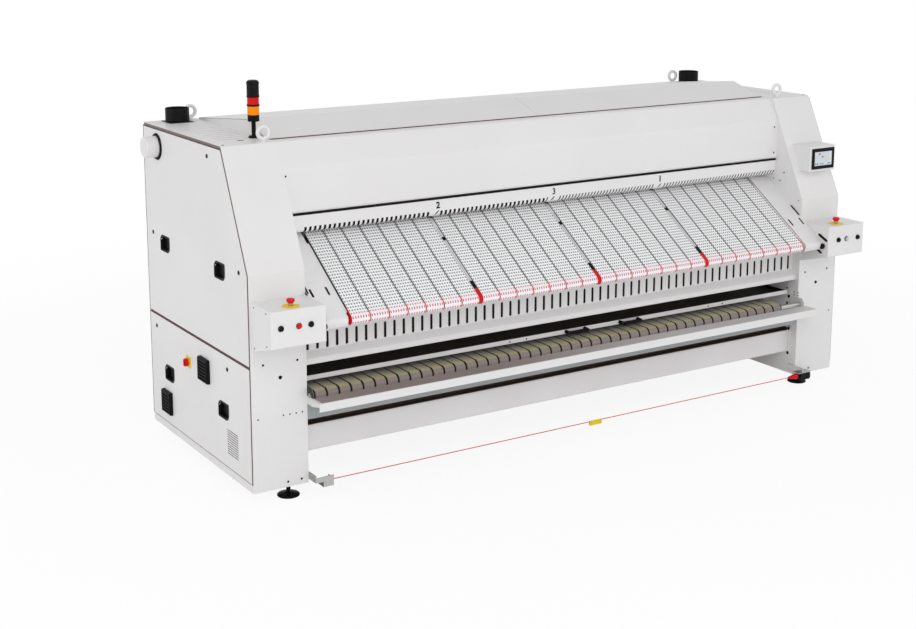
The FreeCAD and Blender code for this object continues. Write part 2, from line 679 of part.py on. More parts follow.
# ---- ironing ----------------------------------------------------------------------------
def ironing_cylinder():
    """Heated drum: polished wall, flat ends and hollow journals in one welded piece."""
    r, wall, half = CYLINDER_R, CYLINDER_WALL, CYLINDER_HALF
    left, right = -INNER - 118, INNER + 190
    shell = rod_x(CYLINDER, r, -half, half)
    shell = shell.cut(bar_x(CYLINDER, r - wall, -half + 16, half - 16, SIDES))
    journals = [bar_x(CYLINDER, JOURNAL_R, left, -half + 8, FEW_SIDES),
                bar_x(CYLINDER, JOURNAL_R, half - 8, right, FEW_SIDES)]
    return fuse([shell] + journals).cut(bar_x(CYLINDER, JOURNAL_BORE_R, left - 1, right + 1, BORE_SIDES))


def bearings():
    """Plates across the side frames with the cylinder's bearings, and those of the rollers."""
    y, z = CYLINDER
    x = INNER + 36
    plate = box(INNER + 20, x, FRAME_INSET + TUBE, DEPTH - FRAME_INSET - TUBE, 1010, 1250)
    clear = bar_x(CYLINDER, flats(JOURNAL_R + 16, BORE_SIDES), INNER, x + 1, BORE_SIDES)
    flange = box(x, x + 18, y - 95, y + 95, z - 95, z + 95)
    boss = bar_x(CYLINDER, 75, x + 18, x + 62, FEW_SIDES)
    bore = bar_x(CYLINDER, flats(JOURNAL_R + RUNNING_FIT, FEW_SIDES), x - 5, x + 80, FEW_SIDES)
    units = [fuse([plate.cut(clear), fuse([flange, boss]).cut(bore)])]
    for y, z in WALL_SHAFTS:
        block = box(INNER + SHEET, INNER + SHEET + 16, y - 34, y + 34, z - 34, z + 34)
        bore = bar_x((y, z), flats(SHAFT_R + RUNNING_FIT, BORE_SIDES), INNER, INNER + 30, BORE_SIDES)
        units.append(block.cut(bore))
    return Part.makeCompound(units + [mirror(unit) for unit in units])


def ironing_belt():
    """The wide belt that presses the linen on the cylinder and returns behind it."""
    guide = GUIDE_R + BELT_GAP
    pulleys = [(*DELIVERY_AXIS, guide, 4), (*REAR_LOWER, guide, 3), (*REAR_UPPER, guide, 3),
               (*NIP_AXIS, guide, 4), (*CYLINDER, -(CYLINDER_R + BELT_GAP + IRONING_BELT), 12)]
    half = FEED_WIDTH / 2 - 6
    return belt_loop(pulleys, IRONING_BELT, -half, half)


def heating_elements():
    """Six heater rods between two carriers, on a tube that stands still in the journals."""
    y, z = CYLINDER
    end = -INNER - 150
    stay = [bar_x(CYLINDER, 24, end, INNER + 60, BORE_SIDES)]
    stay.append(box(end, end + 20, y - 40, y + 40, z - 152, z + 40))
    stay.append(box(end, -INNER - 36, y - 40, y + 40, z - 152, z - 140))
    stay.append(box(-INNER - 52, -INNER - 36, y - 40, y + 40, z - 140, z - 100))
    solids = [fuse(stay)]
    for x in (-1560, 1560):
        disc = bar_x(CYLINDER, 330, x - 3, x + 3, BORE_SIDES)
        solids.append(disc.cut(bar_x(CYLINDER, 24, x - 4, x + 4, BORE_SIDES)))
    for index in range(6):
        angle = math.radians(30 + 60 * index)
        place = (y + 280 * math.cos(angle), z + 280 * math.sin(angle))
        solids.append(bar_x(place, 10, -1557, 1557, 4))
    return Part.makeCompound(solids)


def gear_motor():
    """Shaft-mounted gear motor on the right journal, with its torque arm."""
    y, z = CYLINDER
    x = INNER + 102
    case = outline_x([(y - 90, z - 90), (y + 60, z - 110), (y + 110, z - 60), (y + 110, z + 60),
                      (y + 60, z + 110), (y - 60, z + 110), (y - 110, z + 60)], x, x + 88)
    motor = bar_y(x + 45, z - 50, 60, y - 420, y - 80, FEW_SIDES)
    fan = bar_y(x + 45, z - 50, 68, y - 450, y - 360, FEW_SIDES)
    arm = box(x + 30, x + 60, y + 100, DEPTH - FRAME_INSET - TUBE, z - 20, z + 20)
    bore = bar_x(CYLINDER, flats(JOURNAL_R + RUNNING_FIT, FEW_SIDES), x - 1, x + 91, FEW_SIDES)
    return fuse([case, motor, fan, arm]).cut(bore)


# ---- exit -------------------------------------------------------------------------------
def exit_belts():
    """Narrow delivery belts round the two exit rollers."""
    pulleys = [(*EXIT_FRONT, EXIT_R - BELT, 3), (*EXIT_REAR, EXIT_R - BELT, 2)]
    first = belt_loop(pulleys, BELT, -EXIT_BAND / 2, EXIT_BAND / 2)
    left = EXIT_MIDDLE - (EXIT_COUNT - 1) / 2 * EXIT_PITCH
    return Part.makeCompound([first.translated(V(left + index * EXIT_PITCH, 0, 0))
                              for index in range(EXIT_COUNT)])


def exit_tray():
    """Folded tray in front of the belts, on two brackets that also carry the front roller."""
    path = [(-62, TRAY_TOP), (TRAY_FRONT, TRAY_TOP), (TRAY_FRONT, 518), (TRAY_FRONT + 15, 518)]
    pieces = [folded(path, -TRAY_HALF, TRAY_HALF, 4.0, SHEET)]
    points = [(-150, 540), (-60, 520), (70, 520), (70, 600), (-10, 612), (-44, 612), (-64, 585),
              (-64, TRAY_TOP - 1), (-150, TRAY_TOP - 1)]
    for side in (-1, 1):
        pieces.append(outline_x(points, *sorted((side * (INNER - 8), side * INNER))))
    bore = flats(SHAFT_R + RUNNING_FIT, BORE_SIDES)
    return cut(fuse(pieces), [bar_x(EXIT_FRONT, bore, *sorted((side * (INNER - 20), side * (INNER + 5))),
                                    BORE_SIDES) for side in (-1, 1)])


def bow_handle(x):
    """Bow handle on the front of the drawer."""
    z = sum(DRAWER_Z) / 2
    half, front = 70.0, DRAWER_Y[0]
    legs = [bar_y(x + side * half, z, 8, front - 34, front, 6) for side in (-1, 1)]
    return fuse(legs + [bar((x - half - 8, front - 36, z), (1, 0, 0), 2 * half + 16, 7, BORE_SIDES)])


def lint_drawer():
    """Shallow pan under the cylinder with a bar front and two bow handles."""
    half = INNER - 14
    y0, y1 = DRAWER_Y
    z0, z1 = DRAWER_Z
    pan = box(-half, half, y0, y1, z0, z1 - 6)
    pan = pan.cut(box(-half + 2, half - 2, y0 + 3, y1 - 2, z0 + 1.5, z1))
    front = box(-half, half, y0, y0 + 3, z0, z1)
    return Part.makeCompound([fuse([pan, front]), bow_handle(41), bow_handle(450)])


# ---- pull wire --------------------------------------------------------------------------
def pull_cord():
    """Taut wire across the front, a hand's breadth above the floor."""
    return bar_x((CORD_Y, CORD_Z), CORD_R, *CORD_ENDS, BORE_SIDES)


def cord_brackets():
    """Arm and hanger at the left end, arm and shelf of the switch at the right end."""
    arm = box(-INNER, -INNER + 5, -84, 60, 96, 136)
    reach = box(-INNER, CORD_ENDS[0], -84, -80, 96, 124)
    hanger = folded([(-81, 124), (-81, 62), (-8, 62)], -1760, CORD_ENDS[0], 4.0, 3.0)
    post = box(CORD_ENDS[0] - 4, CORD_ENDS[0], -80, -20, 62, 108)
    wall = box(INNER - 5, INNER, -72, 60, 110, 140)
    shelf = box(1772, 1888, -72, -16, 106, 110)
    return Part.makeCompound([fuse([arm, reach, hanger, post]), fuse([wall, shelf])])


def cord_switch():
    """Safety switch that the wire works, hung under its shelf."""
    body = box(1798, 1884, -70, -20, 58, 106)
    ends = [e for e in body.Edges if e.BoundBox.XMin > 1880 and e.BoundBox.YLength > 1]
    body = body.makeChamfer(9, ends)
    neck = bar_x((CORD_Y, CORD_Z), 17, 1786, 1800, FEW_SIDES)
    hole = flats(PLUNGER_STEM_R + 0.2, FEW_SIDES)
    return fuse([body, neck]).cut(bar_x((CORD_Y, CORD_Z), hole, 1780, 1815, FEW_SIDES))


def cord_plunger():
    """Red cone that the end of the wire sits in; it slides in the switch."""
    profile = [(3.5, 0), (6, 0), (19, 66), (19, 74), (PLUNGER_STEM_R, 74), (PLUNGER_STEM_R, 98),
               (0, 98), (0, 20), (3.5, 20)]
    return turned(profile, (CORD_ENDS[1] - 6, CORD_Y, CORD_Z), (1, 0, 0), BORE_SIDES)


# ---- all the pieces ----------------------------------------------------------------------
def towers():
    """Side frames, covers of the towers and what stands on them."""
    right = side_frame()
    parts["side_frame_right"] = right
    parts["side_frame_left"] = mirror(right)
    shell = tower_shell()
    parts["tower_shell_right"] = shell
    parts["tower_shell_left"] = mirror(shell)
    upper = side_panel(PANEL_SPLIT + PANEL_GAP / 2, PANEL_TOP, HANDLE_Z[1])
    lower = side_panel(PANEL_BOTTOM, PANEL_SPLIT - PANEL_GAP / 2, HANDLE_Z[0])
    duct_hole = bar_x(DUCT, 79, -HALF_WIDTH - 5, -HALF_WIDTH + 20)
    parts["side_panel_upper_right"] = upper
    parts["side_panel_upper_left"] = mirror(upper).cut(duct_hole)
    parts["side_panel_lower_right"] = lower
    parts["side_panel_lower_left"] = cut(mirror(lower), vent_slots())
    parts["filter_boxes"] = Part.makeCompound([filter_box(606, 607), filter_box(1183, 258)])
    parts["isolator_plate"] = isolator_plate()
    parts["isolator_handle"] = isolator_handle()
    parts["side_duct"] = side_duct()
    parts["exhaust_spigots"] = Part.makeCompound([spigot(-1), spigot(1)])
    eyes = [lifting_eye(side * x, y) for x, y in EYES for side in (-1, 1)]
    parts["lifting_eyes"] = Part.makeCompound(eyes)
    feet = [levelling_foot(side * x, y) for x, y in FEET for side in (-1, 1)]
    parts["levelling_feet"] = Part.makeCompound(feet)
    parts["stack_light_body"] = stack_light()
    parts["amber_lens"] = lens(127, 174)
    parts["red_lens"] = lens(185, 223)


def controls():
    """Boxes, buttons and screen."""
    parts["control_box_left"] = control_box(-1, LEFT_BUTTONS, STOP_X[0])
    parts["control_box_right"] = control_box(1, RIGHT_BUTTONS, STOP_X[1])
    parts["stop_collars"] = Part.makeCompound([stop_collar(x) for x in STOP_X])
    parts["stop_head_left"] = stop_head(STOP_X[0])
    parts["stop_head_right"] = stop_head(STOP_X[1])
    names = ("outer", "middle", "inner")
    for name, x in zip(names, LEFT_BUTTONS):
        parts["button_left_" + name] = button(x)
    for name, x in zip(names, RIGHT_BUTTONS[::-1]):
        parts["button_right_" + name] = button(x)
    parts["touch_panel_box"] = touch_panel_box()
    parts["touch_panel"] = touch_panel()


def covers():
    """Everything that closes the middle of the machine."""
    roof = roof_cover()
    parts["front_beam"] = front_beam()
    parts["cross_ties"] = cross_ties()
    parts["front_cover"] = front_cover()
    parts["roof_covers"] = Part.makeCompound([roof, mirror(roof)])
    parts["finger_guard"] = finger_guard()
    parts["rear_covers"] = rear_covers()
    parts["slotted_apron"] = slotted_apron()
    parts["exit_tray"] = exit_tray()
    parts["lint_drawer"] = lint_drawer()


def drives():
    """Belts, rollers and the cylinder with what carries, turns and heats it."""
    half = FEED_WIDTH / 2
    parts["feed_bed"] = feed_bed()
    parts["feed_belts"] = feed_belts()
    thin = BELT + BELT_GAP
    parts["nose_roller"] = roller(NOSE_AXIS, NOSE_R - thin, half - 8, half + 9, NOSE_SHAFT_R, FEW_SIDES)
    parts["feed_roller"] = roller(FEED_AXIS, FEED_DRIVE_R - thin, half - 8, half + 9)
    parts["ironing_cylinder"] = ironing_cylinder()
    parts["bearings"] = bearings()
    parts["ironing_belt"] = ironing_belt()
    for name, place in zip(("nip", "rear_upper", "rear_lower", "delivery"), GUIDES):
        parts[name + "_roller"] = roller(place, GUIDE_R, half + 10, INNER + 24)
    parts["exit_belts"] = exit_belts()
    parts["exit_front_roller"] = roller(EXIT_FRONT, EXIT_R - thin, EXIT_HALF, INNER - 1, SHAFT_R,
                                        FEW_SIDES, EXIT_MIDDLE)
    parts["exit_rear_roller"] = roller(EXIT_REAR, EXIT_R - thin, EXIT_HALF, INNER + 24,
                                       middle=EXIT_MIDDLE)
    parts["heating_elements"] = heating_elements()
    parts["gear_motor"] = gear_motor()


def cord():
    """The pull wire and what it works."""
    parts["pull_cord"] = pull_cord()
    parts["cord_brackets"] = cord_brackets()
    parts["cord_switch"] = cord_switch()
    parts["cord_plunger"] = cord_plunger()


def export():
    """Move the origin to the middle of the bottom of the whole box and write the nodes."""
    os.makedirs("parts", exist_ok=True)
    whole = Part.makeCompound(list(parts.values())).BoundBox
    shift = V(-(whole.XMin + whole.XMax) / 2, -(whole.YMin + whole.YMax) / 2, -whole.ZMin)
    for name, shape in parts.items():
        shape.translated(shift).exportStep("parts/" + name + ".step")
    print("nodes", len(parts), "box", round(whole.XLength, 1), round(whole.YLength, 1),
          round(whole.ZLength, 1), "origin moved by", [round(v, 3) for v in shift])


towers()
controls()
covers()
drives()
cord()
export()
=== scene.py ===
# %% [markdown]
# # Dressing a flatwork ironer
#
# A flatwork ironer dries and presses bed linen in one pass. Two sheet-metal towers carry a
# heated cylinder, a sloping bed of perforated belts feeds it, and a second row of belts
# brings the linen back out underneath. The solid model already has the right places and
# sizes, so this lesson adds what a solid modeller leaves plain: round edges, woven belts,
# plastic, glass, paint and light.

# %% Load the model
import bmesh
import bpy
import json
import math
import numpy as np
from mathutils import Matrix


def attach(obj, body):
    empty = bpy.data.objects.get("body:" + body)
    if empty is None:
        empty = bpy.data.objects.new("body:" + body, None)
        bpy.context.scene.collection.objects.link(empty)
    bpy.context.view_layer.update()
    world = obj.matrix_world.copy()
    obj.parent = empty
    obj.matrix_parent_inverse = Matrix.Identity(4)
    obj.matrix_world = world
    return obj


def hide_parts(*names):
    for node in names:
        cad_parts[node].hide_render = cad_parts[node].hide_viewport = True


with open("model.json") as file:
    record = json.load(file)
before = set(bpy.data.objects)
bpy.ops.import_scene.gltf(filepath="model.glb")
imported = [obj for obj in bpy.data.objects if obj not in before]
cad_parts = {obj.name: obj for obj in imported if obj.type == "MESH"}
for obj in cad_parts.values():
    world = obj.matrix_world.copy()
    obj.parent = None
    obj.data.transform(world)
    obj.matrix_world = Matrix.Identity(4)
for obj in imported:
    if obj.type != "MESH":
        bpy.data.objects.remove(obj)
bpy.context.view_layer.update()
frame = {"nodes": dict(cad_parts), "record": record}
nodes = frame["nodes"]

# %% [markdown]
# ## One ruler
#
# The machine was measured in millimetres from its middle plane, the front of its legs and
# the floor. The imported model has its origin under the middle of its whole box. One shift
# takes the first to the second, so every number below can be read off the real machine.

# %% From the machine's millimetres to the model's metres
SHIFT = np.array([40.0, -589.5, 0.0])


def metres(points):
    """(point + shift) / 1000, for an array of points of any shape."""
    return (np.asarray(points, float) + SHIFT) / 1000


# half the width over the side panels, a tower's inner face, the tower tops, one lane
HALF_WIDTH, INNER, TOP, LANE = 2139.0, 1810.0, 1906.0, 825.0
JOINTS = (-LANE, 0.0, LANE)
ACROSS, FORWARD, UP = (1.0, 0.0, 0.0), (0.0, -1.0, 0.0), (0.0, 0.0, 1.0)
FEED_START = np.array([-185.0, 1029.0])
FEED_END = np.array([340.0, 1374.0])
SLOPE = (FEED_END - FEED_START) / np.linalg.norm(FEED_END - FEED_START)
FEED_UP = np.array([-SLOPE[1], SLOPE[0]])
print("the feed rises", round(math.degrees(math.atan2(SLOPE[1], SLOPE[0])), 1), "degrees")


def on_feed(along, above):
    """(y, z) = start + slope * along + normal * above."""
    return FEED_START + SLOPE * along + FEED_UP * above


# %% [markdown]
# ## Surfaces from grids
#
# Every new piece is a point that depends on two numbers: how far round and how far along.
# Numpy works out the whole grid at once. Neighbouring points become quads; where a grid
# closes on itself or shrinks to a pole, the doubled points are merged afterwards.

# %% A grid becomes faces
def quads(rows, cols, around, along):
    """Corners (i, j), (i+1, j), (i+1, j+1), (i, j+1) of each quad, modulo where it closes."""
    i, j = np.meshgrid(np.arange(rows if around else rows - 1),
                       np.arange(cols if along else cols - 1), indexing="ij")
    return np.stack([i, j, i + 1, j, i + 1, j + 1, i, j + 1], -1).reshape(-1, 4, 2)


def sheet(points, around=False, along=False, uv=None):
    """A grid of points with what it closes on and, if it has them, its texture places."""
    return {"points": np.asarray(points, float), "around": around, "along": along, "uv": uv}


def piece(name, sheets, body, finish, stands_for=(), crease=32):
    """One object from several grids: merge, turn the faces outwards, keep sharp edges."""
    points, faces, texture, count = [], [], [], 0
    for one in sheets:
        rows, cols = one["points"].shape[:2]
        corners = quads(rows, cols, one["around"], one["along"])
        faces.append(corners[..., 0] % rows * cols + corners[..., 1] % cols + count)
        uv = np.zeros((rows + 1, cols + 1, 2)) if one["uv"] is None else one["uv"]
        texture.append(uv[corners[..., 0], corners[..., 1]].reshape(-1, 2))
        points.append(one["points"].reshape(-1, 3))
        count += rows * cols
    mesh = bpy.data.meshes.new(name)
    mesh.from_pydata(metres(np.concatenate(points)), [], np.concatenate(faces))
    mesh.uv_layers.new(name="UVMap").data.foreach_set("uv", np.concatenate(texture).ravel())
    closed(mesh)
    mesh.polygons.foreach_set("use_smooth", np.ones(len(mesh.polygons), bool))
    mesh.set_sharp_from_angle(angle=math.radians(crease))
    return settle(name, mesh, body, finish, stands_for)


def closed(mesh):
    """Merge doubled points, drop faces without area and turn the rest outwards."""
    work = bmesh.new()
    work.from_mesh(mesh)
    bmesh.ops.remove_doubles(work, verts=work.verts, dist=1e-5)
    bmesh.ops.dissolve_degenerate(work, edges=work.edges, dist=1e-6)
    bmesh.ops.recalc_face_normals(work, faces=work.faces)
    work.to_mesh(mesh)
    work.free()


def show(name, data):
    """A new object for some data, linked to the scene."""
    thing = bpy.data.objects.new(name, data)
    bpy.context.scene.collection.objects.link(thing)
    return thing


def settle(name, data, body, finish, stands_for=()):
    """Show an object, give it its finish and tie it to the body that carries it."""
    thing = show(name, data)
    data.materials.clear()
    data.materials.append(finish.material)
    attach(thing, body)
    if stands_for:
        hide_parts(*stands_for)
    print(name, "rides", body)
    return thing


# %% [markdown]
# ## Shapes that come back again and again
#
# Turned parts, bent sheet, plates with rounded corners and swept bars cover nearly all of
# a machine like this. Each is a short formula, so a stop button or a roller needs only its
# outline.

# %% Turned parts
def turned(profile, centre, axis, steps=48, loop=False):
    """centre + axis * h + radius * (cos t, sin t) across the axis, for (radius, h) pairs.

    With loop, the profile closes on itself, as on a ring.
    """
    axis = np.array(axis, float)
    across = np.cross(axis, (0.0, 0.0, 1.0) if abs(axis[2]) < 0.9 else (1.0, 0.0, 0.0))
    across /= np.linalg.norm(across)
    other = np.cross(axis, across)
    turn = np.arange(steps) * 2 * np.pi / steps
    radius, height = np.array(profile, float).T
    ring = np.cos(turn)[:, None, None] * across + np.sin(turn)[:, None, None] * other
    points = np.array(centre, float) + ring * radius[:, None] + axis * height[:, None]
    return sheet(points, around=True, along=loop)


# %% Rounded corners on an open line
def rounded(corners, radius, steps=8):
    """Each inner corner of a (y, z) line becomes an arc of that radius, as equal steps."""
    corners = [np.array(c, float) for c in corners]
    out = [corners[0]]
    for a, b, c in zip(corners, corners[1:], corners[2:]):
        u, w = (b - a) / np.linalg.norm(b - a), (c - b) / np.linalg.norm(c - b)
        side = np.sign(u[0] * w[1] - u[1] * w[0])
        turn = math.acos(np.clip(u @ w, -1, 1))
        first = b - u * radius * math.tan(turn / 2)
        centre = first + side * radius * np.array([-u[1], u[0]])
        angle = np.linspace(0, side * turn, steps + 1)
        arm = first - centre
        out += list(centre + np.stack([np.cos(angle) * arm[0] - np.sin(angle) * arm[1],
                                       np.sin(angle) * arm[0] + np.cos(angle) * arm[1]], 1))
    return np.array(out + [corners[-1]])


# %% Bent sheet carried sideways
def walked(line):
    """The length walked from the start of a line to each of its points."""
    return np.append(0.0, np.cumsum(np.linalg.norm(np.diff(line, axis=0), axis=1)))


def offset(line, distance):
    """Each point of a (y, z) line moved along the mean normal of its two neighbours."""
    step = np.diff(line, axis=0)
    normal = np.stack([-step[:, 1], step[:, 0]], 1) / np.linalg.norm(step, axis=1)[:, None]
    mean = np.concatenate([normal[:1], normal[1:] + normal[:-1], normal[-1:]])
    return line + mean * (distance / np.einsum("ij,ij->i", mean, mean)
                          * np.concatenate([[1], np.full(len(line) - 2, 2), [1]]))[:, None]


def bent(line, x0, x1, thick, cuts=2):
    """Both faces of a (y, z) line from x0 to x1, with the narrow faces that close them."""
    other = offset(line, thick)
    ring = np.concatenate([line, other[::-1]])
    x = np.linspace(x0, x1, cuts)
    walk = walked(line)
    walk = np.concatenate([walk, walk[::-1], walk[:1]])
    uv = np.stack(np.broadcast_arrays(np.append(x, x1)[None, :] / 1000, walk[:, None] / 1000), -1)
    points = np.stack(np.broadcast_arrays(x, ring[:, :1], ring[:, 1:]), -1)
    ends = np.stack([line, other], 1)
    caps = [sheet(np.concatenate([np.full(ends.shape[:2] + (1,), at), ends], -1))
            for at in (x0, x1)]
    return [sheet(points, around=True, uv=uv)] + caps


# %% Plates with rounded corners and edges
def oblong(half_a, half_b, radius, steps=6):
    """A rectangle's outline with quarter circles at its corners, as (a, b) points.

    The radius is one number, or four that start at the corner (+a, +b).
    """
    turn = np.linspace(0, np.pi / 2, steps + 1)
    out = []
    signs = ((1, 1), (-1, 1), (-1, -1), (1, -1))
    for quarter, ((sa, sb), bend) in enumerate(zip(signs, np.broadcast_to(radius, 4))):
        angle = turn + quarter * np.pi / 2
        out.append(np.stack([sa * (half_a - bend) + bend * np.cos(angle),
                             sb * (half_b - bend) + bend * np.sin(angle)], 1))
    return np.concatenate(out)


def plate(centre, a, b, half_a, half_b, corner, levels):
    """Rings of an oblong, each drawn in by a distance at a height, closed in the middle.

    The directions a and b lie in the plate and their cross product points out of it.
    """
    a, b = np.array(a, float), np.array(b, float)
    out = np.cross(a, b)
    rings = []
    for inward, height in levels:
        keep = np.maximum(np.array(corner, float) - inward, 0.3)
        outline = oblong(half_a - inward, half_b - inward, keep)
        rings.append(np.array(centre, float) + outline[:, :1] * a + outline[:, 1:] * b
                     + out * height)
    for end in (0, -1):
        middle = np.broadcast_to(rings[end].mean(0), rings[end].shape)
        rings = [middle] + rings if end == 0 else rings + [middle]
    return sheet(np.stack(rings, 1), around=True)


def slab_levels(thick, edge):
    """Levels of a plate whose upper edge is rounded by a quarter circle."""
    turn = np.linspace(0, np.pi / 2, 4)
    return [(0.0, 0.0)] + [(edge * (1 - math.cos(t)), thick - edge + edge * math.sin(t))
                           for t in turn]


# %% Bars swept along a line
def swept(line, radius, steps=12):
    """A circle carried along a line of (x, y, z) points, kept upright to the line."""
    line = np.array(line, float)
    tangent = np.gradient(line, axis=0)
    tangent /= np.linalg.norm(tangent, axis=1)[:, None]
    guide = np.array([0.0, 0.0, 1.0]) if abs(tangent[:, 2]).max() < 0.9 else np.array([0, 1.0, 0])
    across = np.cross(tangent, guide)
    across /= np.linalg.norm(across, axis=1)[:, None]
    other = np.cross(tangent, across)
    turn = np.arange(steps) * 2 * np.pi / steps
    size = np.broadcast_to(radius, len(line))[:, None, None]
    ring = (np.cos(turn)[:, None] * across[:, None] + np.sin(turn)[:, None] * other[:, None]) * size
    tube = line[:, None] + ring
    ends = [np.broadcast_to(line[end], tube[0].shape) for end in (0, -1)]
    return sheet(np.concatenate([ends[:1], tube, ends[1:]]), along=True)


# %% [markdown]
# ## Shader maths as plain arithmetic
#
# A pattern is arithmetic on coordinates. One small class wraps a node's output and turns
# +, -, *, < and > into Math nodes, so a row of holes can be written as it would be on
# paper. Everything else is added through one method that takes the node's type, its
# inputs and its settings.

# %% Arithmetic on sockets
class Field:
    """A number that changes over a surface."""

    def __init__(self, graph, socket):
        self.graph, self.socket = graph, socket

    def maths(self, operation, *inputs):
        """One Math node on these inputs."""
        return self.graph.node("ShaderNodeMath", dict(enumerate(inputs)), operation=operation)

    def __add__(self, other):
        return self.maths("ADD", self, other)

    def __sub__(self, other):
        return self.maths("SUBTRACT", self, other)

    def __rsub__(self, other):
        return self.maths("SUBTRACT", other, self)

    def __mul__(self, other):
        return self.maths("MULTIPLY", self, other)

    def __gt__(self, other):
        return self.maths("GREATER_THAN", self, other)

    def __lt__(self, other):
        return self.maths("LESS_THAN", self, other)

    __radd__ = __add__
    __rmul__ = __mul__

    def cycle(self, pitch):
        """Place within a repeat, from minus half the pitch to plus half the pitch."""
        return self.maths("FLOORED_MODULO", self, pitch) - pitch / 2

    def size(self):
        """Its distance from zero."""
        return self.maths("ABSOLUTE", self)

    def ease(self, low, high):
        """0 below low, 1 above high, smooth between."""
        return self.graph.node("ShaderNodeMapRange", {0: self, 1: low, 2: high},
                               interpolation_type="SMOOTHSTEP")


# %% A tree of nodes, and a finish
class Graph:
    """A node tree that is filled by arithmetic."""

    def __init__(self, tree):
        self.tree = tree

    def node(self, kind, inputs, out=0, **settings):
        """Add a node: settings first, then the values or links of its sockets."""
        new = self.tree.nodes.new(kind)
        for key, value in settings.items():
            setattr(new, key, value)
        for key, value in inputs.items():
            self.join(new.inputs[key], value)
        return Field(self, new.outputs[out]) if new.outputs else None

    def join(self, socket, value):
        """Link a field to a socket, or write a number or colour on it."""
        if isinstance(value, Field):
            self.tree.links.new(value.socket, socket)
        else:
            socket.default_value = value


class Finish(Graph):
    """A material whose changing values reach only colour, roughness and bump."""

    slot = "black_plastic"  # the record's slot, unless a finish is given another one

    def __init__(self, name, colour, roughness=0.5, **constants):
        self.name = name
        self.material = bpy.data.materials.new(name)
        self.material.use_nodes = True
        super().__init__(self.material.node_tree)
        self.shader = self.tree.nodes["Principled BSDF"]
        self.set("Base Color", colour)
        self.set("Roughness", roughness)
        for socket, value in constants.items():
            self.set(socket.replace("_", " "), value)
        self.coords = self.node("ShaderNodeTexCoord", {}, out="Object")
        apart = self.node("ShaderNodeSeparateXYZ", {0: self.coords})
        self.x, self.y, self.z = (Field(self, s) for s in apart.socket.node.outputs[:3])
        flat = self.node("ShaderNodeSeparateXYZ", {0: self.node("ShaderNodeUVMap", {})})
        self.u, self.v = (Field(self, s) for s in flat.socket.node.outputs[:2])

    def set(self, name, value):
        """Feed one socket of the shader."""
        self.join(self.shader.inputs[name], value)
        return self

    def noise(self, scale, detail=3.0, roughness=0.5, stretch=None):
        """Smooth noise from 0 to 1, that many cells to the metre."""
        place = self.coords
        if stretch:
            place = self.node("ShaderNodeMapping", {"Vector": place, "Scale": stretch})
        return self.node("ShaderNodeTexNoise", {"Vector": place, "Scale": scale, "Detail": detail,
                                                "Roughness": roughness})

    def mix(self, share, first, second):
        """Colour that goes from the first to the second."""
        return self.node("ShaderNodeMix", {0: share, 6: first, 7: second}, out=2,
                         data_type="RGBA")

    def bump(self, height, strength=0.3, distance=0.001):
        """Dents and grain: height in parts of distance, which is in metres."""
        return self.set("Normal", self.node("ShaderNodeBump", {
            "Strength": strength, "Distance": distance, "Height": height}))


def rgba(r, g, b):
    """A colour written as it shows on screen, 0 to 255, made linear."""
    v = np.array([r, g, b]) / 255
    return (*np.where(v <= 0.04045, v / 12.92, ((v + 0.055) / 1.055) ** 2.4), 1.0)


# %% [markdown]
# ## Finishes
#
# Powder coat is not flat: it has the fine orange peel of a baked film, and its tint and
# gloss drift a little over a wide sheet. A bright and a dull tone mixed by broad noise,
# with fine noise as bump, gives that. The same recipe with other numbers makes moulded
# plastic.

# %% Paint
def paint(name, tone, dull, roughness, peel=650.0, depth=0.06):
    """Baked powder coat: broad drift of tone, fine peel, a trace of dust low down."""
    finish = Finish(name, tone, roughness)
    finish.drift = finish.noise(1.7, 2.0).ease(0.35, 0.7)
    dust = (1.0 - finish.z.ease(0.02, 0.5)) * finish.noise(9.0, 4.0).ease(0.4, 0.8)
    finish.set("Base Color", finish.mix(finish.drift * 0.5 + dust * 0.35, tone, dull))
    finish.set("Roughness", roughness - 0.05 + finish.noise(38.0, 3.0) * 0.1)
    finish.bump(finish.noise(peel, 2.0), depth, 0.0004)
    return finish


COVER_TONES = rgba(231, 230, 230), rgba(226, 224, 224)
cover_paint = paint("cover_paint", *COVER_TONES, 0.42)
frame_paint = paint("frame_paint", rgba(132, 122, 118), rgba(114, 105, 101), 0.55, 420.0, 0.1)
housing_paint = paint("housing_paint", rgba(96, 104, 112), rgba(78, 86, 96), 0.5, 300.0, 0.15)

# %% Plastic
def moulded(name, tone, roughness, grain=900.0, depth=0.12, gloss=0.5):
    """Moulded plastic: fine spark-eroded grain and a gloss that handling has evened out."""
    finish = Finish(name, tone, roughness, Specular_IOR_Level=gloss)
    wear_and_shade = finish.noise(26.0, 3.0).ease(0.45, 0.75)
    light = tuple(min(1.0, c * 1.35 + 0.004) for c in tone[:3]) + (1.0,)
    finish.set("Base Color", finish.mix(wear_and_shade * 0.45, tone, light))
    finish.set("Roughness", roughness + finish.noise(60.0, 2.0) * 0.12)
    finish.bump(finish.noise(grain, 2.0), depth, 0.0003)
    return finish


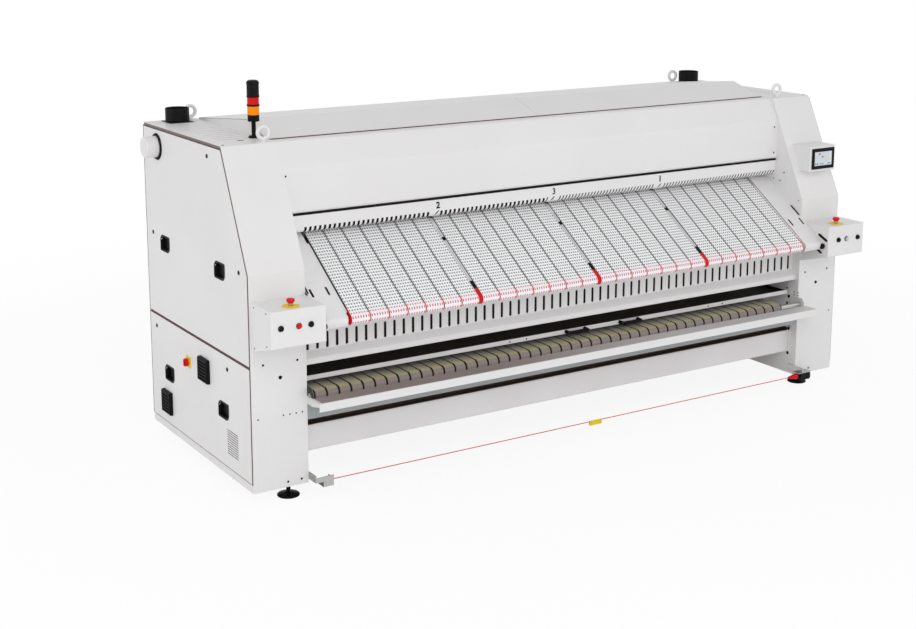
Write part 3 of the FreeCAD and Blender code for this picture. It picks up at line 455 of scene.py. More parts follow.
black_plastic = moulded("black_plastic", rgba(16, 15, 17), 0.38, gloss=0.1)
vent_plastic = moulded("vent_plastic", rgba(18, 16, 18), 0.5, gloss=0.1)
yellow_plastic = moulded("yellow_plastic", rgba(236, 202, 14), 0.36, gloss=0.25)
red_plastic = moulded("red_plastic", rgba(214, 18, 22), 0.32, gloss=0.15)
# painted shade: the trims' brown is the shade in the gaps at the panel edges and the roof seam
trim_gap_shade = moulded("trim_gap_shade", rgba(98, 76, 73), 0.6, 500.0, 0.2, gloss=0.2)
grey_plastic = moulded("grey_plastic", rgba(196, 198, 202), 0.25)
rubber = moulded("black_rubber", rgba(14, 13, 14), 0.6, 500.0, 0.2, gloss=0.15)
# painted shade: near black for the wall behind the apron slots, the shade inside the duct
duct_wall_shade = moulded("duct_wall_shade", rgba(17, 15, 15), 0.7, 400.0, 0.1)
cord_sleeve = moulded("cord_sleeve", rgba(214, 46, 46), 0.4, 1200.0, 0.1)
amber_plastic = moulded("amber_plastic", rgba(252, 142, 0), 0.2, 300.0, 0.04, 0.12)
signal_plastic = moulded("signal_plastic", rgba(214, 12, 14), 0.2, 300.0, 0.04, 0.12)
glass = moulded("screen_glass", rgba(208, 216, 224), 0.08, 300.0, 0.02)

# %% [markdown]
# Bare metal is mostly its surroundings, so the finish only has to break up the
# reflection: long streaks for brushed sheet, fine rings for a turned part, a cloudy
# spangle for zinc plating.

# %% Metal
def brushed(name, tone, roughness, streak, depth=0.08):
    """Metal with streaks along one axis; streak gives the noise scale along x, y and z."""
    finish = Finish(name, tone, roughness, Metallic=1.0)
    line = finish.noise(1.0, 4.0, stretch=streak)
    finish.set("Base Color", finish.mix(line, tone, tuple(c * 0.86 for c in tone[:3]) + (1.0,)))
    finish.set("Roughness", roughness - 0.06 + line * 0.16)
    finish.bump(line, depth, 0.0003)
    return finish


polished_steel = brushed("polished_steel", rgba(198, 199, 202), 0.2, (900.0, 6.0, 6.0), 0.05)
plated_steel = brushed("plated_steel", rgba(190, 190, 186), 0.34, (160.0, 160.0, 160.0), 0.1)
roller_tube = brushed("roller_tube", rgba(176, 177, 180), 0.3, (500.0, 8.0, 8.0), 0.06)

# %% [markdown]
# ## Belts
#
# The feed belts are white fabric with rows of square holes, so that air drawn through the
# bed holds the linen flat. Over the dark bed the holes look black and over the red nose
# roller they look red. Punching some ten thousand holes would cost a million faces, so the
# holes are painted by arithmetic on the belt's own texture places, which are its width and
# its length in metres, and a bump sinks them.

# %% Feed webbing
BAND = 0.10971  # the width of one belt, then the pitch of its holes across and along
HOLE_PITCH = (0.0158, 0.0222)


def webbing(name, tone, shade, rib):
    """Plain weave: two crossed waves, one for the warp and one for the weft."""
    finish = Finish(name, tone, 0.72, Sheen_Weight=0.1, Sheen_Roughness=0.5)
    warp, weft = (place.maths("SINE", place * (2 * math.pi / rib)) for place in (finish.u, finish.v))
    finish.weave = warp * weft * 0.5 + 0.5
    finish.fuzz = finish.noise(420.0, 3.0)
    finish.ground = finish.mix(finish.weave * 0.35 + finish.fuzz * 0.3, tone, shade)
    return finish


feed_webbing = webbing("feed_webbing", rgba(250, 250, 251), rgba(234, 234, 237), 0.0021)
hole_u = 1.0 - feed_webbing.u.cycle(HOLE_PITCH[0]).size().ease(0.003, 0.0036)
rows = feed_webbing.v.maths("MAXIMUM", feed_webbing.v, feed_webbing.v * 0.7)
hole_v = 1.0 - rows.cycle(HOLE_PITCH[1]).size().ease(0.0046, 0.0054)
# painted shade: a dark margin along each belt edge, the shade in the gap between belts
painted_edge_shade = (feed_webbing.u - BAND / 2).size().ease(BAND / 2 - 0.0015, BAND / 2 - 0.001)
holes = (hole_u * hole_v).maths("MAXIMUM", hole_u * hole_v, painted_edge_shade)
nose = 1.0 - feed_webbing.v.ease(0.021, 0.0225)
through = feed_webbing.mix(nose, rgba(10, 9, 10), rgba(214, 20, 26))
# painted shade: on the nose turn and the first 21 mm above it the cloth is mixed half way to a
# cooler, duller white
cloth = feed_webbing.mix(nose * 0.5, feed_webbing.ground, rgba(234, 240, 248))
feed_webbing.set("Base Color", feed_webbing.mix(holes, cloth, through))
feed_webbing.bump(feed_webbing.weave * 0.2 + feed_webbing.fuzz * 0.15 - holes, 0.3, 0.0006)
print("holes across a band", round(BAND / HOLE_PITCH[0]))

# %% [markdown]
# The delivery belts are heat-proof felt, olive brown. Along the crest at the front lies a
# painted highlight, the front faces of the turn are painted a lighter grey-brown as the light
# that falls on them, and the edges of each belt are painted dark as the shade between the
# belts. The broad ironing belt is the same stuff in a warmer shade.

# %% Felt
def felted(name, tone, shade, roughness):
    """Needled felt: matted noise at two scales, with a sheen from the loose fibres."""
    finish = Finish(name, tone, roughness, Sheen_Weight=0.4, Sheen_Roughness=0.4)
    mat = finish.noise(520.0, 5.0, roughness=0.7)
    drift = finish.noise(14.0, 3.0).ease(0.3, 0.7)
    finish.ground = finish.mix(mat * 0.6 + drift * 0.4, tone, shade)
    finish.set("Base Color", finish.ground)
    finish.set("Roughness", roughness - 0.08 + drift * 0.16)
    finish.bump(mat, 0.35, 0.0007)
    return finish


exit_webbing = felted("exit_webbing", rgba(70, 62, 38), rgba(52, 45, 25), 0.45)
# painted light: the front faces of the turn are a lighter grey-brown, a painted highlight lies along
# the crest, and the belt edges (rim) are painted dark as the shade between belts
painted_front_light = 1.0 - exit_webbing.v.ease(-0.03, -0.008)
painted_crest_highlight = (1.0 - exit_webbing.v.ease(-0.01, 0.11)) * (exit_webbing.noise(30.0) * 0.4 + 0.7)
rim = (exit_webbing.u - 0.0325).size().ease(0.0302, 0.031)
felt = exit_webbing.mix(painted_crest_highlight, exit_webbing.ground, rgba(190, 182, 136))
felt = exit_webbing.mix(painted_front_light, felt, rgba(134, 122, 118))
exit_webbing.set("Base Color", exit_webbing.mix(rim, felt, rgba(22, 18, 14)))
ironing_felt = felted("ironing_felt", rgba(166, 148, 124), rgba(134, 116, 94), 0.8)

# %% [markdown]
# ## Nodes that keep their solid shape
#
# Covers, tubes and brackets are already right in the solid model. They only get their
# finish. The feed bed is one node but three colours: white side plates, a dark suction bed
# between them and a light guide strip under each joint of the lanes, with a painted shadow
# line down its middle, so its paint looks at how far from the middle a point lies. The
# drawer's bow handles are dark, and its pan is painted dark brown as the shade inside the
# drawer. The tray's shelf is painted grey towards the left as the shade that falls there,
# and its left bearing ear is black.

# %% Paint of more than one colour
def part_painted(name, pattern):
    """Cover paint with the tones that a pattern in the machine's millimetres puts on it."""
    finish = paint(name, *COVER_TONES, 0.42)
    white = finish.mix(finish.drift, *COVER_TONES)
    place = [axis * 1000 - move for axis, move in zip((finish.x, finish.y, finish.z), SHIFT)]
    return finish.set("Base Color", pattern(finish, white, *place))


def feed_pattern(finish, white, x, y, z):
    """White side plates, and a dark bed with a pale strip at each inner joint, a painted shadow line
    down its middle.
    """
    bed = 1.0 - x.size().ease(1643.5, 1644.5)
    joint = (x + LANE / 2).cycle(LANE).size()
    # painted shadow: a dark line down the middle of each pale strip
    strip = finish.mix(joint.ease(1.2, 1.8), rgba(70, 62, 62), rgba(226, 226, 228))
    inner = (1.0 - joint.ease(10.4, 11.2)) * (1.0 - x.size().ease(1200.0, 1210.0))
    return finish.mix(bed, white, finish.mix(inner, rgba(14, 13, 14), strip))


def tray_pattern(finish, white, x, y, z):
    """A pale tray, its shelf painted grey towards the left as shade, and its left bearing ear black.
    """
    shelf = (y > -160.0) * (z > 561.0) * (x.size() < 1802.5)
    # painted shade: the shelf goes from a dull grey at the left to pale at the right, the shade on
    # its left end
    wear_and_shade = finish.mix(x.ease(-900.0, 900.0), rgba(162, 149, 145), rgba(222, 219, 218))
    tone = finish.mix(shelf, rgba(230, 229, 229), wear_and_shade)
    return finish.mix((x < -1803.0) * (z > 567.0), tone, rgba(20, 18, 18))


feed_paint = part_painted("feed_bed_paint", feed_pattern)
tray_paint = part_painted("tray_paint", tray_pattern)
# painted shade: the pan behind the front plate is dark brown, the shade inside the drawer; the
# handles in front are black
drawer_paint = part_painted("drawer_paint", lambda finish, white, x, y, z: finish.mix(
    (y < 83.5) + (y > 90.0), white, rgba(36, 29, 27)))
# painted shade: the beam's top under the tray is dark brown, the shade that falls there
beam_paint = part_painted("beam_paint", lambda finish, white, x, y, z: finish.mix(
    (y > 80.0) * (z > 369.0), white, rgba(74, 62, 48)))
# painted shade: the cross ties under the tray lip are a cool grey, the shade beneath the lip
tie_paint = paint("tie_paint", rgba(168, 173, 175), rgba(152, 157, 160), 0.45, 420.0, 0.1)
# painted shade: a brown for the sheet that stands for the shade between the tray lip and the front
# beam
shade_sheet_paint = paint("shade_sheet_paint", rgba(78, 66, 52), rgba(64, 54, 42), 0.6)
shade_sheet_paint.slot = "frame_steel"

# %% Finishes by material slot
by_slot = {finish.name: finish for finish in (
    vent_plastic, yellow_plastic, red_plastic, black_plastic, grey_plastic, plated_steel,
    feed_webbing, ironing_felt, exit_webbing, roller_tube, polished_steel)}
by_slot.update(body_paint=cover_paint, frame_steel=frame_paint, cast_housing=housing_paint,
               amber=amber_plastic, signal_red=signal_plastic, cord_red=cord_sleeve)
by_node = {"feed_bed": feed_paint, "lint_drawer": drawer_paint, "front_beam": beam_paint,
           "exit_tray": tray_paint, "cross_ties": tie_paint}
for slot, finish in by_slot.items():
    finish.slot = slot
for subpart in frame["record"]["subparts"]:
    finish = by_node.get(subpart["node"], by_slot[subpart["material_slot"]])
    for material_slot in nodes[subpart["node"]].material_slots:
        material_slot.material = finish.material
print(len(nodes), "nodes painted")

# %% [markdown]
# ## Belt loops
#
# A belt is a rectangle carried round two pulleys. The line of the loop is made of two
# straight runs and two arcs. The drawing keeps the running length beside each point, which
# becomes the texture place along the belt, with zero where the flat run starts.

# %% The line round two pulleys
def loop_line(first, second, near_radius, far_radius, steps=14):
    """Arc round the first pulley, upper run, arc round the second and the run back."""
    first, second = np.array(first, float), np.array(second, float)
    reach = np.linalg.norm(second - first)
    lean = math.atan2(*(second - first)[::-1])
    open_angle = lean + math.acos((near_radius - far_radius) / reach)
    half = open_angle - lean
    front = np.linspace(lean + 2 * math.pi - half, open_angle, steps)
    back = np.linspace(open_angle, lean - half, steps)
    near = first + near_radius * np.stack([np.cos(front), np.sin(front)], 1)
    far = second + far_radius * np.stack([np.cos(back), np.sin(back)], 1)
    line = np.concatenate([near, far])
    walk = walked(line)
    total = walk[-1] + np.linalg.norm(line[0] - line[-1])
    return line, np.append(walk, total) - walk[steps - 1]


def loops(first, second, radii, thick, wide, places):
    """One belt of that width at each place along x: outer face, inner face and two edges."""
    outer, walk = loop_line(first, second, *radii)
    inner, _ = loop_line(first, second, *(radius - thick for radius in radii))
    out = []
    for x in places:
        lines = ((outer, x), (outer, x + wide), (inner, x + wide), (inner, x), (outer, x))
        grid = np.stack([np.column_stack([np.full(len(line), at), line]) for line, at in lines], 1)
        across = np.array([0, wide, wide, 0, 0, 0]) / 1000
        uv = np.stack(np.broadcast_arrays(across[None, :], walk[:, None] / 1000), -1)
        out.append(sheet(grid, around=True, uv=uv))
    return out


# %% Feed belts
strip, gap = 22.0, 5.0
pitch = (LANE - strip) / 7
index = np.arange(28)
band_x = -2 * LANE + index // 7 * LANE + (strip + gap) / 2 + index % 7 * pitch
drive_along = (360.0 - FEED_START[0]) / SLOPE[0]
piece("feed_belt_bands", loops(on_feed(0, -30.0), on_feed(drive_along, -45.0), (30.0, 45.0),
                               3.0, pitch - gap, band_x),
      "frame", feed_webbing, ["feed_belts"])
print("bands", len(band_x), "of", round(pitch - gap, 1), "mm")

# %% Delivery belts
EXIT_MIDDLE, EXIT_WIDE = -92.5, 65.0
EXIT_AXIS = (-25.0, 572.0)
exit_x = EXIT_MIDDLE + (np.arange(46) - 22.5) * 73.9 - EXIT_WIDE / 2
piece("delivery_bands", loops(EXIT_AXIS, (600.0, 572.0), (33.0, 33.0), 3.0, EXIT_WIDE, exit_x),
      "frame", exit_webbing, ["exit_belts"])
print("delivery belts", len(exit_x))

# %% [markdown]
# ## Rollers
#
# Only two rollers can be seen: the red one in the nose of the feed and the dark, rubber
# covered one in front of the delivery belts. A roller is an outline of radius against
# length, turned round its axis, with a small chamfer so that its rim catches the light.

# %% Nose roller and front delivery roller
def stepped(*steps):
    """Radius against length of a bar in steps of (radius, half length, chamfer)."""
    left, inner = [], 0
    for radius, half, chamfer in steps:
        left += [(inner, -half), (radius - chamfer, -half), (radius, chamfer - half)]
        inner = radius
    return left + [(r, -along) for r, along in left[::-1]]


nose_axis = on_feed(0, -30.0)
for name, steps, centre, body, finish, stands_for in (
        ("red_nose_roller", [(10, 1659, 1), (25.8, 1642, 1.5)], (0, *nose_axis), "nose_roller",
         red_plastic, ["nose_roller"]),
        ("lagged_front_roller", [(28.8, 1706, 1.5)], (EXIT_MIDDLE, *EXIT_AXIS),
         "exit_front_roller", rubber, ["exit_front_roller"]),
        ("front_roller_shaft", [(15, 1809, 1)], (0, *EXIT_AXIS), "exit_front_roller",
         plated_steel, ())):
    piece(name, [turned(stepped(*steps), centre, ACROSS)], body, finish, stands_for)

# %% [markdown]
# ## Feed details
#
# Black clips hold the belt guides between the lanes, near the nose and again half way up.
# Black edge strips close the joint between the side plates and the towers and draw the
# shade in that gap, and a clamping lever with its knob sits on the inner side of each
# control box.

# %% Lane clips
UPHILL = (0.0, *SLOPE)
clips = []
for joint in JOINTS:
    for along, half_length, half_width in ((84.0, 28.0, 8.5), (457.0, 12.0, 8.0)):
        clips.append(plate((joint, *on_feed(along, -4.0)), ACROSS, UPHILL, half_width,
                           half_length, 2.0, slab_levels(5.0, 1.2)))
piece("lane_clips", clips, "frame", black_plastic)
guides = [plate((joint + side * 5.7, *on_feed(588.0, -6.0)), ACROSS, UPHILL, 4.9, 42.0, 1.0,
                slab_levels(3.0, 0.6)) for joint in JOINTS for side in (-1, 1)]
piece("lane_guides", guides, "frame", cover_paint)

# %% Red covers under the joints of the lanes
nose_y, nose_z = nose_axis
first = math.atan2(*FEED_UP[::-1])
arc = [(nose_y + 29.0 * math.cos(t), nose_z + 29.0 * math.sin(t))
       for t in np.linspace(first + 2.6, first, 15)]
cover_line = np.array(arc + [tuple(on_feed(56.0, -1.0))])
covers = []
for x, half in (*((joint, 10.5) for joint in JOINTS), (-1640.6, 3.0), (1640.6, 3.0)):
    covers += bent(cover_line, x - half, x + half, -1.5)
piece("joint_covers", covers, "frame", red_plastic)

# %% Edge strips and clamping levers
# painted shade: the black strips in the joint between the side plates and the towers stand for the
# shade in that gap
strips = []
for side, along, half_length in ((-1.0, 225.0, 34.0), (1.0, 292.0, 46.0)):
    strips.append(plate((side * 1805.0, *on_feed(along, 0.2)), ACROSS, UPHILL, 4.0, half_length,
                        2.0, slab_levels(4.0, 1.2)))
for side in (-1.0, 1.0):
    for x in (1690.0, 1785.0):
        strips.append(plate((side * x, *on_feed(192.0, 0.0)), ACROSS, UPHILL, 4.2, 29.0, 4.0,
                            slab_levels(1.2, 0.5)))
piece("edge_strips", strips, "frame", rubber)
levers = []
for side in (-1.0, 1.0):
    for y, z, half_length, half_width in ((-196, 1051, 42, 8), (-160, 962, 34, 7)):
        lean = np.array([0.0, -0.909, -0.417])
        other = np.cross(lean, (-side, 0.0, 0.0))
        levers.append(plate((side * 1812.0, y, z), lean, -other, half_length, half_width,
                            half_width - 1.0, slab_levels(5.0, 1.5)))
    levers.append(turned([(0, 0), (16, 0), (18, 3), (18, 18), (15, 22), (0, 23)],
                         (side * 1812.0, -200.0, 996.0), (-side, 0, 0), 32))
piece("clamp_levers", levers, "frame", black_plastic)

# %% [markdown]
# ## Finger guard
#
# The guard shows the person feeding where each lane is: 2, 3 and 1 stand over the joints
# of the lanes. A row of slots runs along its lower bend, drawn as black dashes that paint
# the shade seen through them. Each dash is a thin skin that follows the bend, so it is
# worked out from the same rounded line as the guard.

# %% Dashes along the bend
guard_line = rounded([(255, 1497), (254, 1404), (345, 1392)], 21.0, 10)
guard_walk = walked(guard_line)


def on_guard(walk, lift):
    """(y, z) that far down the guard's line from its top, lifted off its front face."""
    y, z = (np.interp(walk, guard_walk, guard_line[:, k]) for k in (0, 1))
    ahead = np.stack([np.interp(walk + 0.5, guard_walk, guard_line[:, k]) - v
                      for k, v in ((0, y), (1, z))], -1)
    ahead /= np.linalg.norm(ahead, axis=-1)[:, None]
    return np.stack([y, z], -1) + np.stack([ahead[:, 1], -ahead[:, 0]], -1) * lift


def dash(x, slant, width, top, bottom):
    """A skin from one walk to another, sheared sideways, 0.6 mm proud of the guard."""
    walk = np.linspace(top, bottom, 7)
    shift = x + slant * (bottom - walk) / (bottom - top)
    skins = []
    for lift, half in ((-0.2, width / 2), (0.6, width / 2 - 0.3)):
        line = on_guard(walk, lift)
        skins += [np.column_stack([shift - half, line]), np.column_stack([shift + half, line])]
    ring = np.stack([skins[0], skins[2], skins[3], skins[1]], 1)
    ends = [np.broadcast_to(ring[end].mean(0), ring[end].shape) for end in (0, -1)]
    return sheet(np.concatenate([ends[:1], ring, ends[1:]]), along=True)


upright = np.arange(-1677.0, -75.0, 30.0)
upright = upright[np.abs(upright + 848.0) > 34.0]
slanted = np.arange(-70.0, 1790.0, 24.0)
slanted = slanted[(np.abs(slanted + 30.0) > 34.0) & (np.abs(slanted - 800.0) > 34.0)]
# painted shade: each black dash stands for a slot in the guard and the shade seen through it
marks = [dash(x, 3.0, 14.5, 66.0, 98.0) for x in upright]
marks += [dash(x, 15.0, 8.0, 64.0, 96.0) for x in slanted]
marks += [dash(x, 24.0, 9.0, 64.0, 86.0) for x in (-848.0, -30.0, 800.0)]
piece("guard_dashes", marks, "finger_guard", black_plastic)
print(len(marks), "dashes")

# %% Lane numbers
GUARD_FACE, FIGURE_LEVEL, FIGURE_HIGH = 254.2, 1463.0, 38.0


def figure(text, x, weight):
    """A printed figure as a thin raised mesh on the guard's upright face."""
    curve = bpy.data.curves.new("figure", "FONT")
    curve.body, curve.size, curve.extrude, curve.offset = text, FIGURE_HIGH / 730, 0.0003, weight
    curve.align_x, curve.align_y = "CENTER", "CENTER"
    source = bpy.data.objects.new("figure_source", curve)
    mesh = bpy.data.meshes.new_from_object(source)
    bpy.data.objects.remove(source)
    closed(mesh)
    flat = np.empty(len(mesh.vertices) * 3)
    mesh.vertices.foreach_get("co", flat)
    flat = flat.reshape(-1, 3) * 1000
    placed = np.stack([x + flat[:, 0], GUARD_FACE - flat[:, 2], FIGURE_LEVEL + flat[:, 1]], 1)
    mesh.vertices.foreach_set("co", metres(placed).ravel())
    mesh.update()
    settle("lane_number_" + text, mesh, "finger_guard", black_plastic)


for text, x, weight in (("2", -828.0, 0.0018), ("3", -9.0, 0.001), ("1", 815.0, 0.0022)):
    figure(text, x, weight)

# %% [markdown]
# ## Seals and painted shade
#
# A round black rubber seal closes the gap between the long front cover and the guard and
# draws the shade in that gap as a bold black line. Behind the slotted apron stands the wall
# of the suction duct, painted near black as the shade inside it, so the slots read as black.
# A brown sheet under the tray lip stands for the shade between the lip and the front beam.

# %% Cover seal and duct wall
def seal(y, z, radius, steps):
    """A round rubber cord across the machine, between the towers."""
    return swept([(x, y, z) for x in np.linspace(-1807.0, 1807.0, 24)], radius, steps)


# painted shade: the black seal draws the shade in the gap between the front cover and the guard
piece("cover_seal_gap_shade", [seal(257.5, 1502.5, 5.0, 16)], "frame", rubber)
# painted shade: the duct wall behind the slots is near black, the shade inside the duct
wall = rounded([(112, 996), (76, 996), (76, 800), (88, 788)], 8.0, 5)
piece("duct_wall", bent(wall, -1806.0, 1806.0, 1.5), "frame", duct_wall_shade)
# painted shade: a brown sheet where there is only the shade between the tray lip and the front beam
piece("painted_shade_sheet", bent(np.array([(42.0, 429.0), (125.0, 373.0)]), -1800.0, 1800.0, 1.5),
      "frame", shade_sheet_paint)

# %% [markdown]
# ## Slotted apron
#
# The apron under the nose has sixty upright slots with round ends. A slot is cut without
# any cutting: the outline of one cell and the outline of its slot have the same number of
# points, so the rings between them are the plate with its hole. Cells meet at their edges.

# %% One cell of the apron and its sixty copies
CELL, CELL_LOW, CELL_HIGH = 60.0, 797.0, 990.0
SLOT_HALF, SLOT_REACH, SLOT_LEVEL = 8.4, 46.0, 842.0
FACE, BACK = 65.0, 67.0
slot_ring = oblong(SLOT_HALF, SLOT_REACH, SLOT_HALF - 0.01) + (0.0, SLOT_LEVEL)
cell_ring = []
for index, (a, b) in enumerate(slot_ring):
    share = (index % 7) / 6 if index // 7 % 2 == 0 else 1 - (index % 7) / 6
    side, end = np.sign(a) * CELL / 2, CELL_HIGH if b > SLOT_LEVEL else CELL_LOW
    start = SLOT_LEVEL + np.sign(b - SLOT_LEVEL) * (SLOT_REACH - SLOT_HALF)
    cell_ring.append((side, start + (end - start) * min(1.0, share * 2)) if share <= 0.5
                     else (side * (2 - share * 2), end))
cell_ring = np.array(cell_ring)
cells = (np.arange(60) - 29.5) * CELL
apron, edge_x = [], []
for x in cells:
    rows = [np.column_stack([ring[:, 0] + x, np.full(len(ring), y), ring[:, 1]])
            for ring, y in ((cell_ring, FACE), (slot_ring, FACE), (slot_ring, BACK),
                            (cell_ring, BACK))]
    apron.append(sheet(np.stack(rows, 1), around=True))
    edge_x += list(np.unique(np.round(cell_ring[cell_ring[:, 1] == CELL_HIGH, 0] + x, 4)))
print("apron slots", len(cells))

# %% The edges and bends of the apron
edge_x = np.unique(edge_x)
for z in (CELL_LOW, CELL_HIGH):
    apron.append(sheet([[(x, y, z) for x in edge_x] for y in (FACE, BACK)]))
for side in (-1.0, 1.0):
    at = np.unique(cell_ring[cell_ring[:, 0] == CELL / 2, 1])
    apron.append(sheet([[(side * 1800.0, y, z) for z in at] for y in (FACE, BACK)]))
    apron += bent(np.array([(FACE, CELL_LOW), (FACE, CELL_HIGH)]), side * 1800.0,
                  side * INNER, FACE - BACK)
top_bend = rounded([(FACE, CELL_HIGH), (FACE, 1000), (100, 1000)], 8.0, 6)
low_bend = rounded([(FACE, CELL_LOW), (FACE, 792), (30, 757), (30, 727)], 8.0, 6)
apron += bent(top_bend, -INNER, INNER, -2.0) + bent(low_bend, -INNER, INNER, 2.0)
piece("pierced_apron", apron, "frame", cover_paint, ["slotted_apron"])

# %% [markdown]
# ## Signal light
#
# Base, pole and cap are black mouldings, and the two lenses are fluted rings of clear
# coloured plastic. The flutes are a small wave in the outline, because a bump map would
# vanish on the silhouette.

# %% Signal light
light = (-1855.0, 500.0, TOP)
body_outline = [(0, 0), (28, 0), (29, 1.5), (29, 9), (26, 12), (14, 14), (12, 16), (12, 86),
                (14, 90), (31, 91), (32, 93), (32, 126), (31, 127), (0, 127)]
ring_outline = [(0, 174), (34, 174), (35, 175.5), (35, 183.5), (34, 185), (0, 185)]
cap_outline = [(0, 223), (34, 223), (35, 225), (35, 232), (33.4, 234), (33.4, 292), (35, 294),
               (35, 304), (33, 307), (30, 312), (22, 316), (0, 317)]
piece("signal_light_body", [turned(o, light, UP) for o in
                            (body_outline, ring_outline, cap_outline)],
      "frame", black_plastic, ["stack_light_body"])


def lens_outline(low, high):
    """Radius 32.3 + 0.6 cos(2 pi h / 5.9), so the rings are fluted."""
    height = np.linspace(low + 0.2, high - 0.2, 33)
    radius = 32.3 + 0.6 * np.cos((height - low) * 2 * np.pi / 5.9)
    return [(0, low), *zip(radius, height), (0, high)]


piece("amber_ring", [turned(lens_outline(127.0, 174.0), light, UP)], "frame",
      amber_plastic, ["amber_lens"], 50)
piece("red_ring", [turned(lens_outline(185.0, 223.0), light, UP)], "frame",
      signal_plastic, ["red_lens"], 50)

# %% [markdown]
# ## On the towers
#
# Lifting eyes are rings, so their section is a circle turned about an axis that misses it.
# The exhaust spigots are open black tubes on flanges with a round hole. The duct stub on
# the left stands in a rubber ring.

# %% Lifting eyes
eyes = []
circle = [(32 + 10 * math.cos(t), 10 * math.sin(t)) for t in np.arange(20) * math.pi / 10]
for x, y in ((1874.0, 340.0), (1860.0, 1390.0)):
    for side in (-1, 1):
        eyes.append(turned(circle, (side * x, y, 1955), (0, 1, 0), loop=True))
        eyes.append(turned([(0, 0), (15, 0), (16, 1), (16, 6), (12, 8.5), (9, 12), (0, 12)],
                           (side * x, y, TOP), UP))
piece("lifting_rings", eyes, "frame", cover_paint, ["lifting_eyes"])


# %% Exhaust spigots
def pierced(centre, half, corner, bore, thick):
    """A square flange with a round hole: its outline joined to a circle, above and below."""
    outline = oblong(half, half, corner)
    angle = np.arctan2(outline[:, 1], outline[:, 0])
    inner = np.stack([np.cos(angle), np.sin(angle)], 1) * bore
    rows = [(outline, 0.0), (outline, thick - 1), (outline * (1 - 1 / half), thick),
            (inner, thick), (inner, 0.0)]
    return sheet(np.stack([np.column_stack([ring, np.full(len(ring), height)])
                           for ring, height in rows], 1) + np.array(centre), True, True)


tube_loop = [(67, 2), (70, 2), (70, 74), (69.6, 80), (68.6, 82), (67.4, 81.4), (67, 79)]
spigots = []
for side in (-1, 1):
    spigots.append(turned(tube_loop, (side * 1963.0, 1335.0, TOP), UP, 64, True))
    spigots.append(pierced((side * 1963.0, 1335.0, TOP), 75.0, 6.0, 68.5, 3.0))
piece("black_spigots", spigots, "frame", black_plastic, ["exhaust_spigots"])

# %% Duct stub
duct = (-HALF_WIDTH, 1222.0, 1787.0)
stub = [(0, -28), (60, -28), (62, 0), (62, 72), (61, 77), (58, 79.6), (50, 80), (0, 80)]
grommet = [(62.8, 0.5), (77, 0.5), (77.5, 3), (75, 7), (70, 9), (64, 9), (62.8, 7.5)]
piece("duct_stub", [turned(stub, duct, (-1, 0, 0), 64)], "frame", cover_paint,
      ["side_duct"])
piece("duct_grommet", [turned(grommet, duct, (-1, 0, 0), 64, True)],
      "upper_left_panel", rubber)

# %% Levelling feet
feet = []
for y in (70.0, 1367.0):
    for side in (-1, 1):
        place = (side * 1900.0, y, 0.0)
        feet.append(turned([(0, 0), (61, 0), (62, 1.5), (62, 6), (59, 9), (26, 17), (20, 20),
                            (0, 20)], place, UP, 64))
        thread = [(12.0 - (k % 2) * 0.9, 19.5 + k * 1.2) for k in range(33)]
        feet.append(turned([(0, 19.5), *thread, (0, 58)], place, UP, 32))
        feet.append(turned([(0, 58), (19.5, 58), (21, 59.5), (21, 74.5), (19.5, 76), (0, 76)],
                           place, UP, 6))
piece("machine_feet", feet, "frame", black_plastic, ["levelling_feet"])
print(len(eyes) // 2, "eyes,", len(feet) // 3, "feet")

# %% [markdown]
# ## Controls
#
# The stop buttons are mushroom heads that slide over a fixed metal collar, so the head is
# hollow below. Push buttons sit in black bezels. A chamfer or a dome on each rim gives the
# highlight that makes small plastic look moulded.

# %% Stop buttons
BOX_TOP, BOX_FACE, BUTTON_LEVEL = 1126.0, -245.0, 1035.0
for side, x in (("left", -1982.0), ("right", 1942.0)):
    place = (x, -178.0, BOX_TOP)
    piece("stop_disc_" + side, [turned([(0, 0), (45, 0), (46, 1), (46, 3), (45, 4), (0, 4)],
                                       place, UP, 64)],
          "frame", yellow_plastic, ["stop_collars"] if side == "left" else ())
    piece("stop_sleeve_" + side, [turned([(0, 3), (12.4, 3), (13, 4), (13, 17), (12, 18),
                                          (0, 18)], place, UP)],
          "frame", plated_steel)
    head = [(0, 25), (14.4, 25), (14.4, 20), (15.4, 19.6), (17, 22), (21.5, 28), (22, 31),
            (22, 37), (20, 40.5), (14, 42.6), (0, 43)]
    piece("stop_mushroom_" + side, [turned(head, place, UP, 64)],
          "stop_head_" + side, red_plastic, ["stop_head_" + side])

# %% Push buttons
CAP = [(0, 0.5), (9, 0.5), (9, 4.6), (12.5, 5), (13, 6), (13, 10), (12, 11.8), (9, 12.8), (0, 13)]
BEZEL = [(13.4, 0), (16.5, 0), (16.5, 1.5), (15.6, 4), (14.2, 4.6), (13.4, 4.2)]
buttons = {"left_outer": (-2071, "black_plastic"), "left_middle": (-1969, "red_plastic"),
           "left_inner": (-1900, "black_plastic"), "right_inner": (1901, "black_plastic"),
           "right_middle": (1974, "grey_plastic"), "right_outer": (2075, "black_plastic")}
bezels = []
for name, (x, colour) in buttons.items():
    face = (x, BOX_FACE, BUTTON_LEVEL)
    piece("cap_" + name, [turned(CAP, face, FORWARD)], "button_" + name,
          by_slot[colour], ["button_" + name])
    bezels.append(turned(BEZEL, face, FORWARD, loop=True))
piece("button_bezels", bezels, "frame", black_plastic)

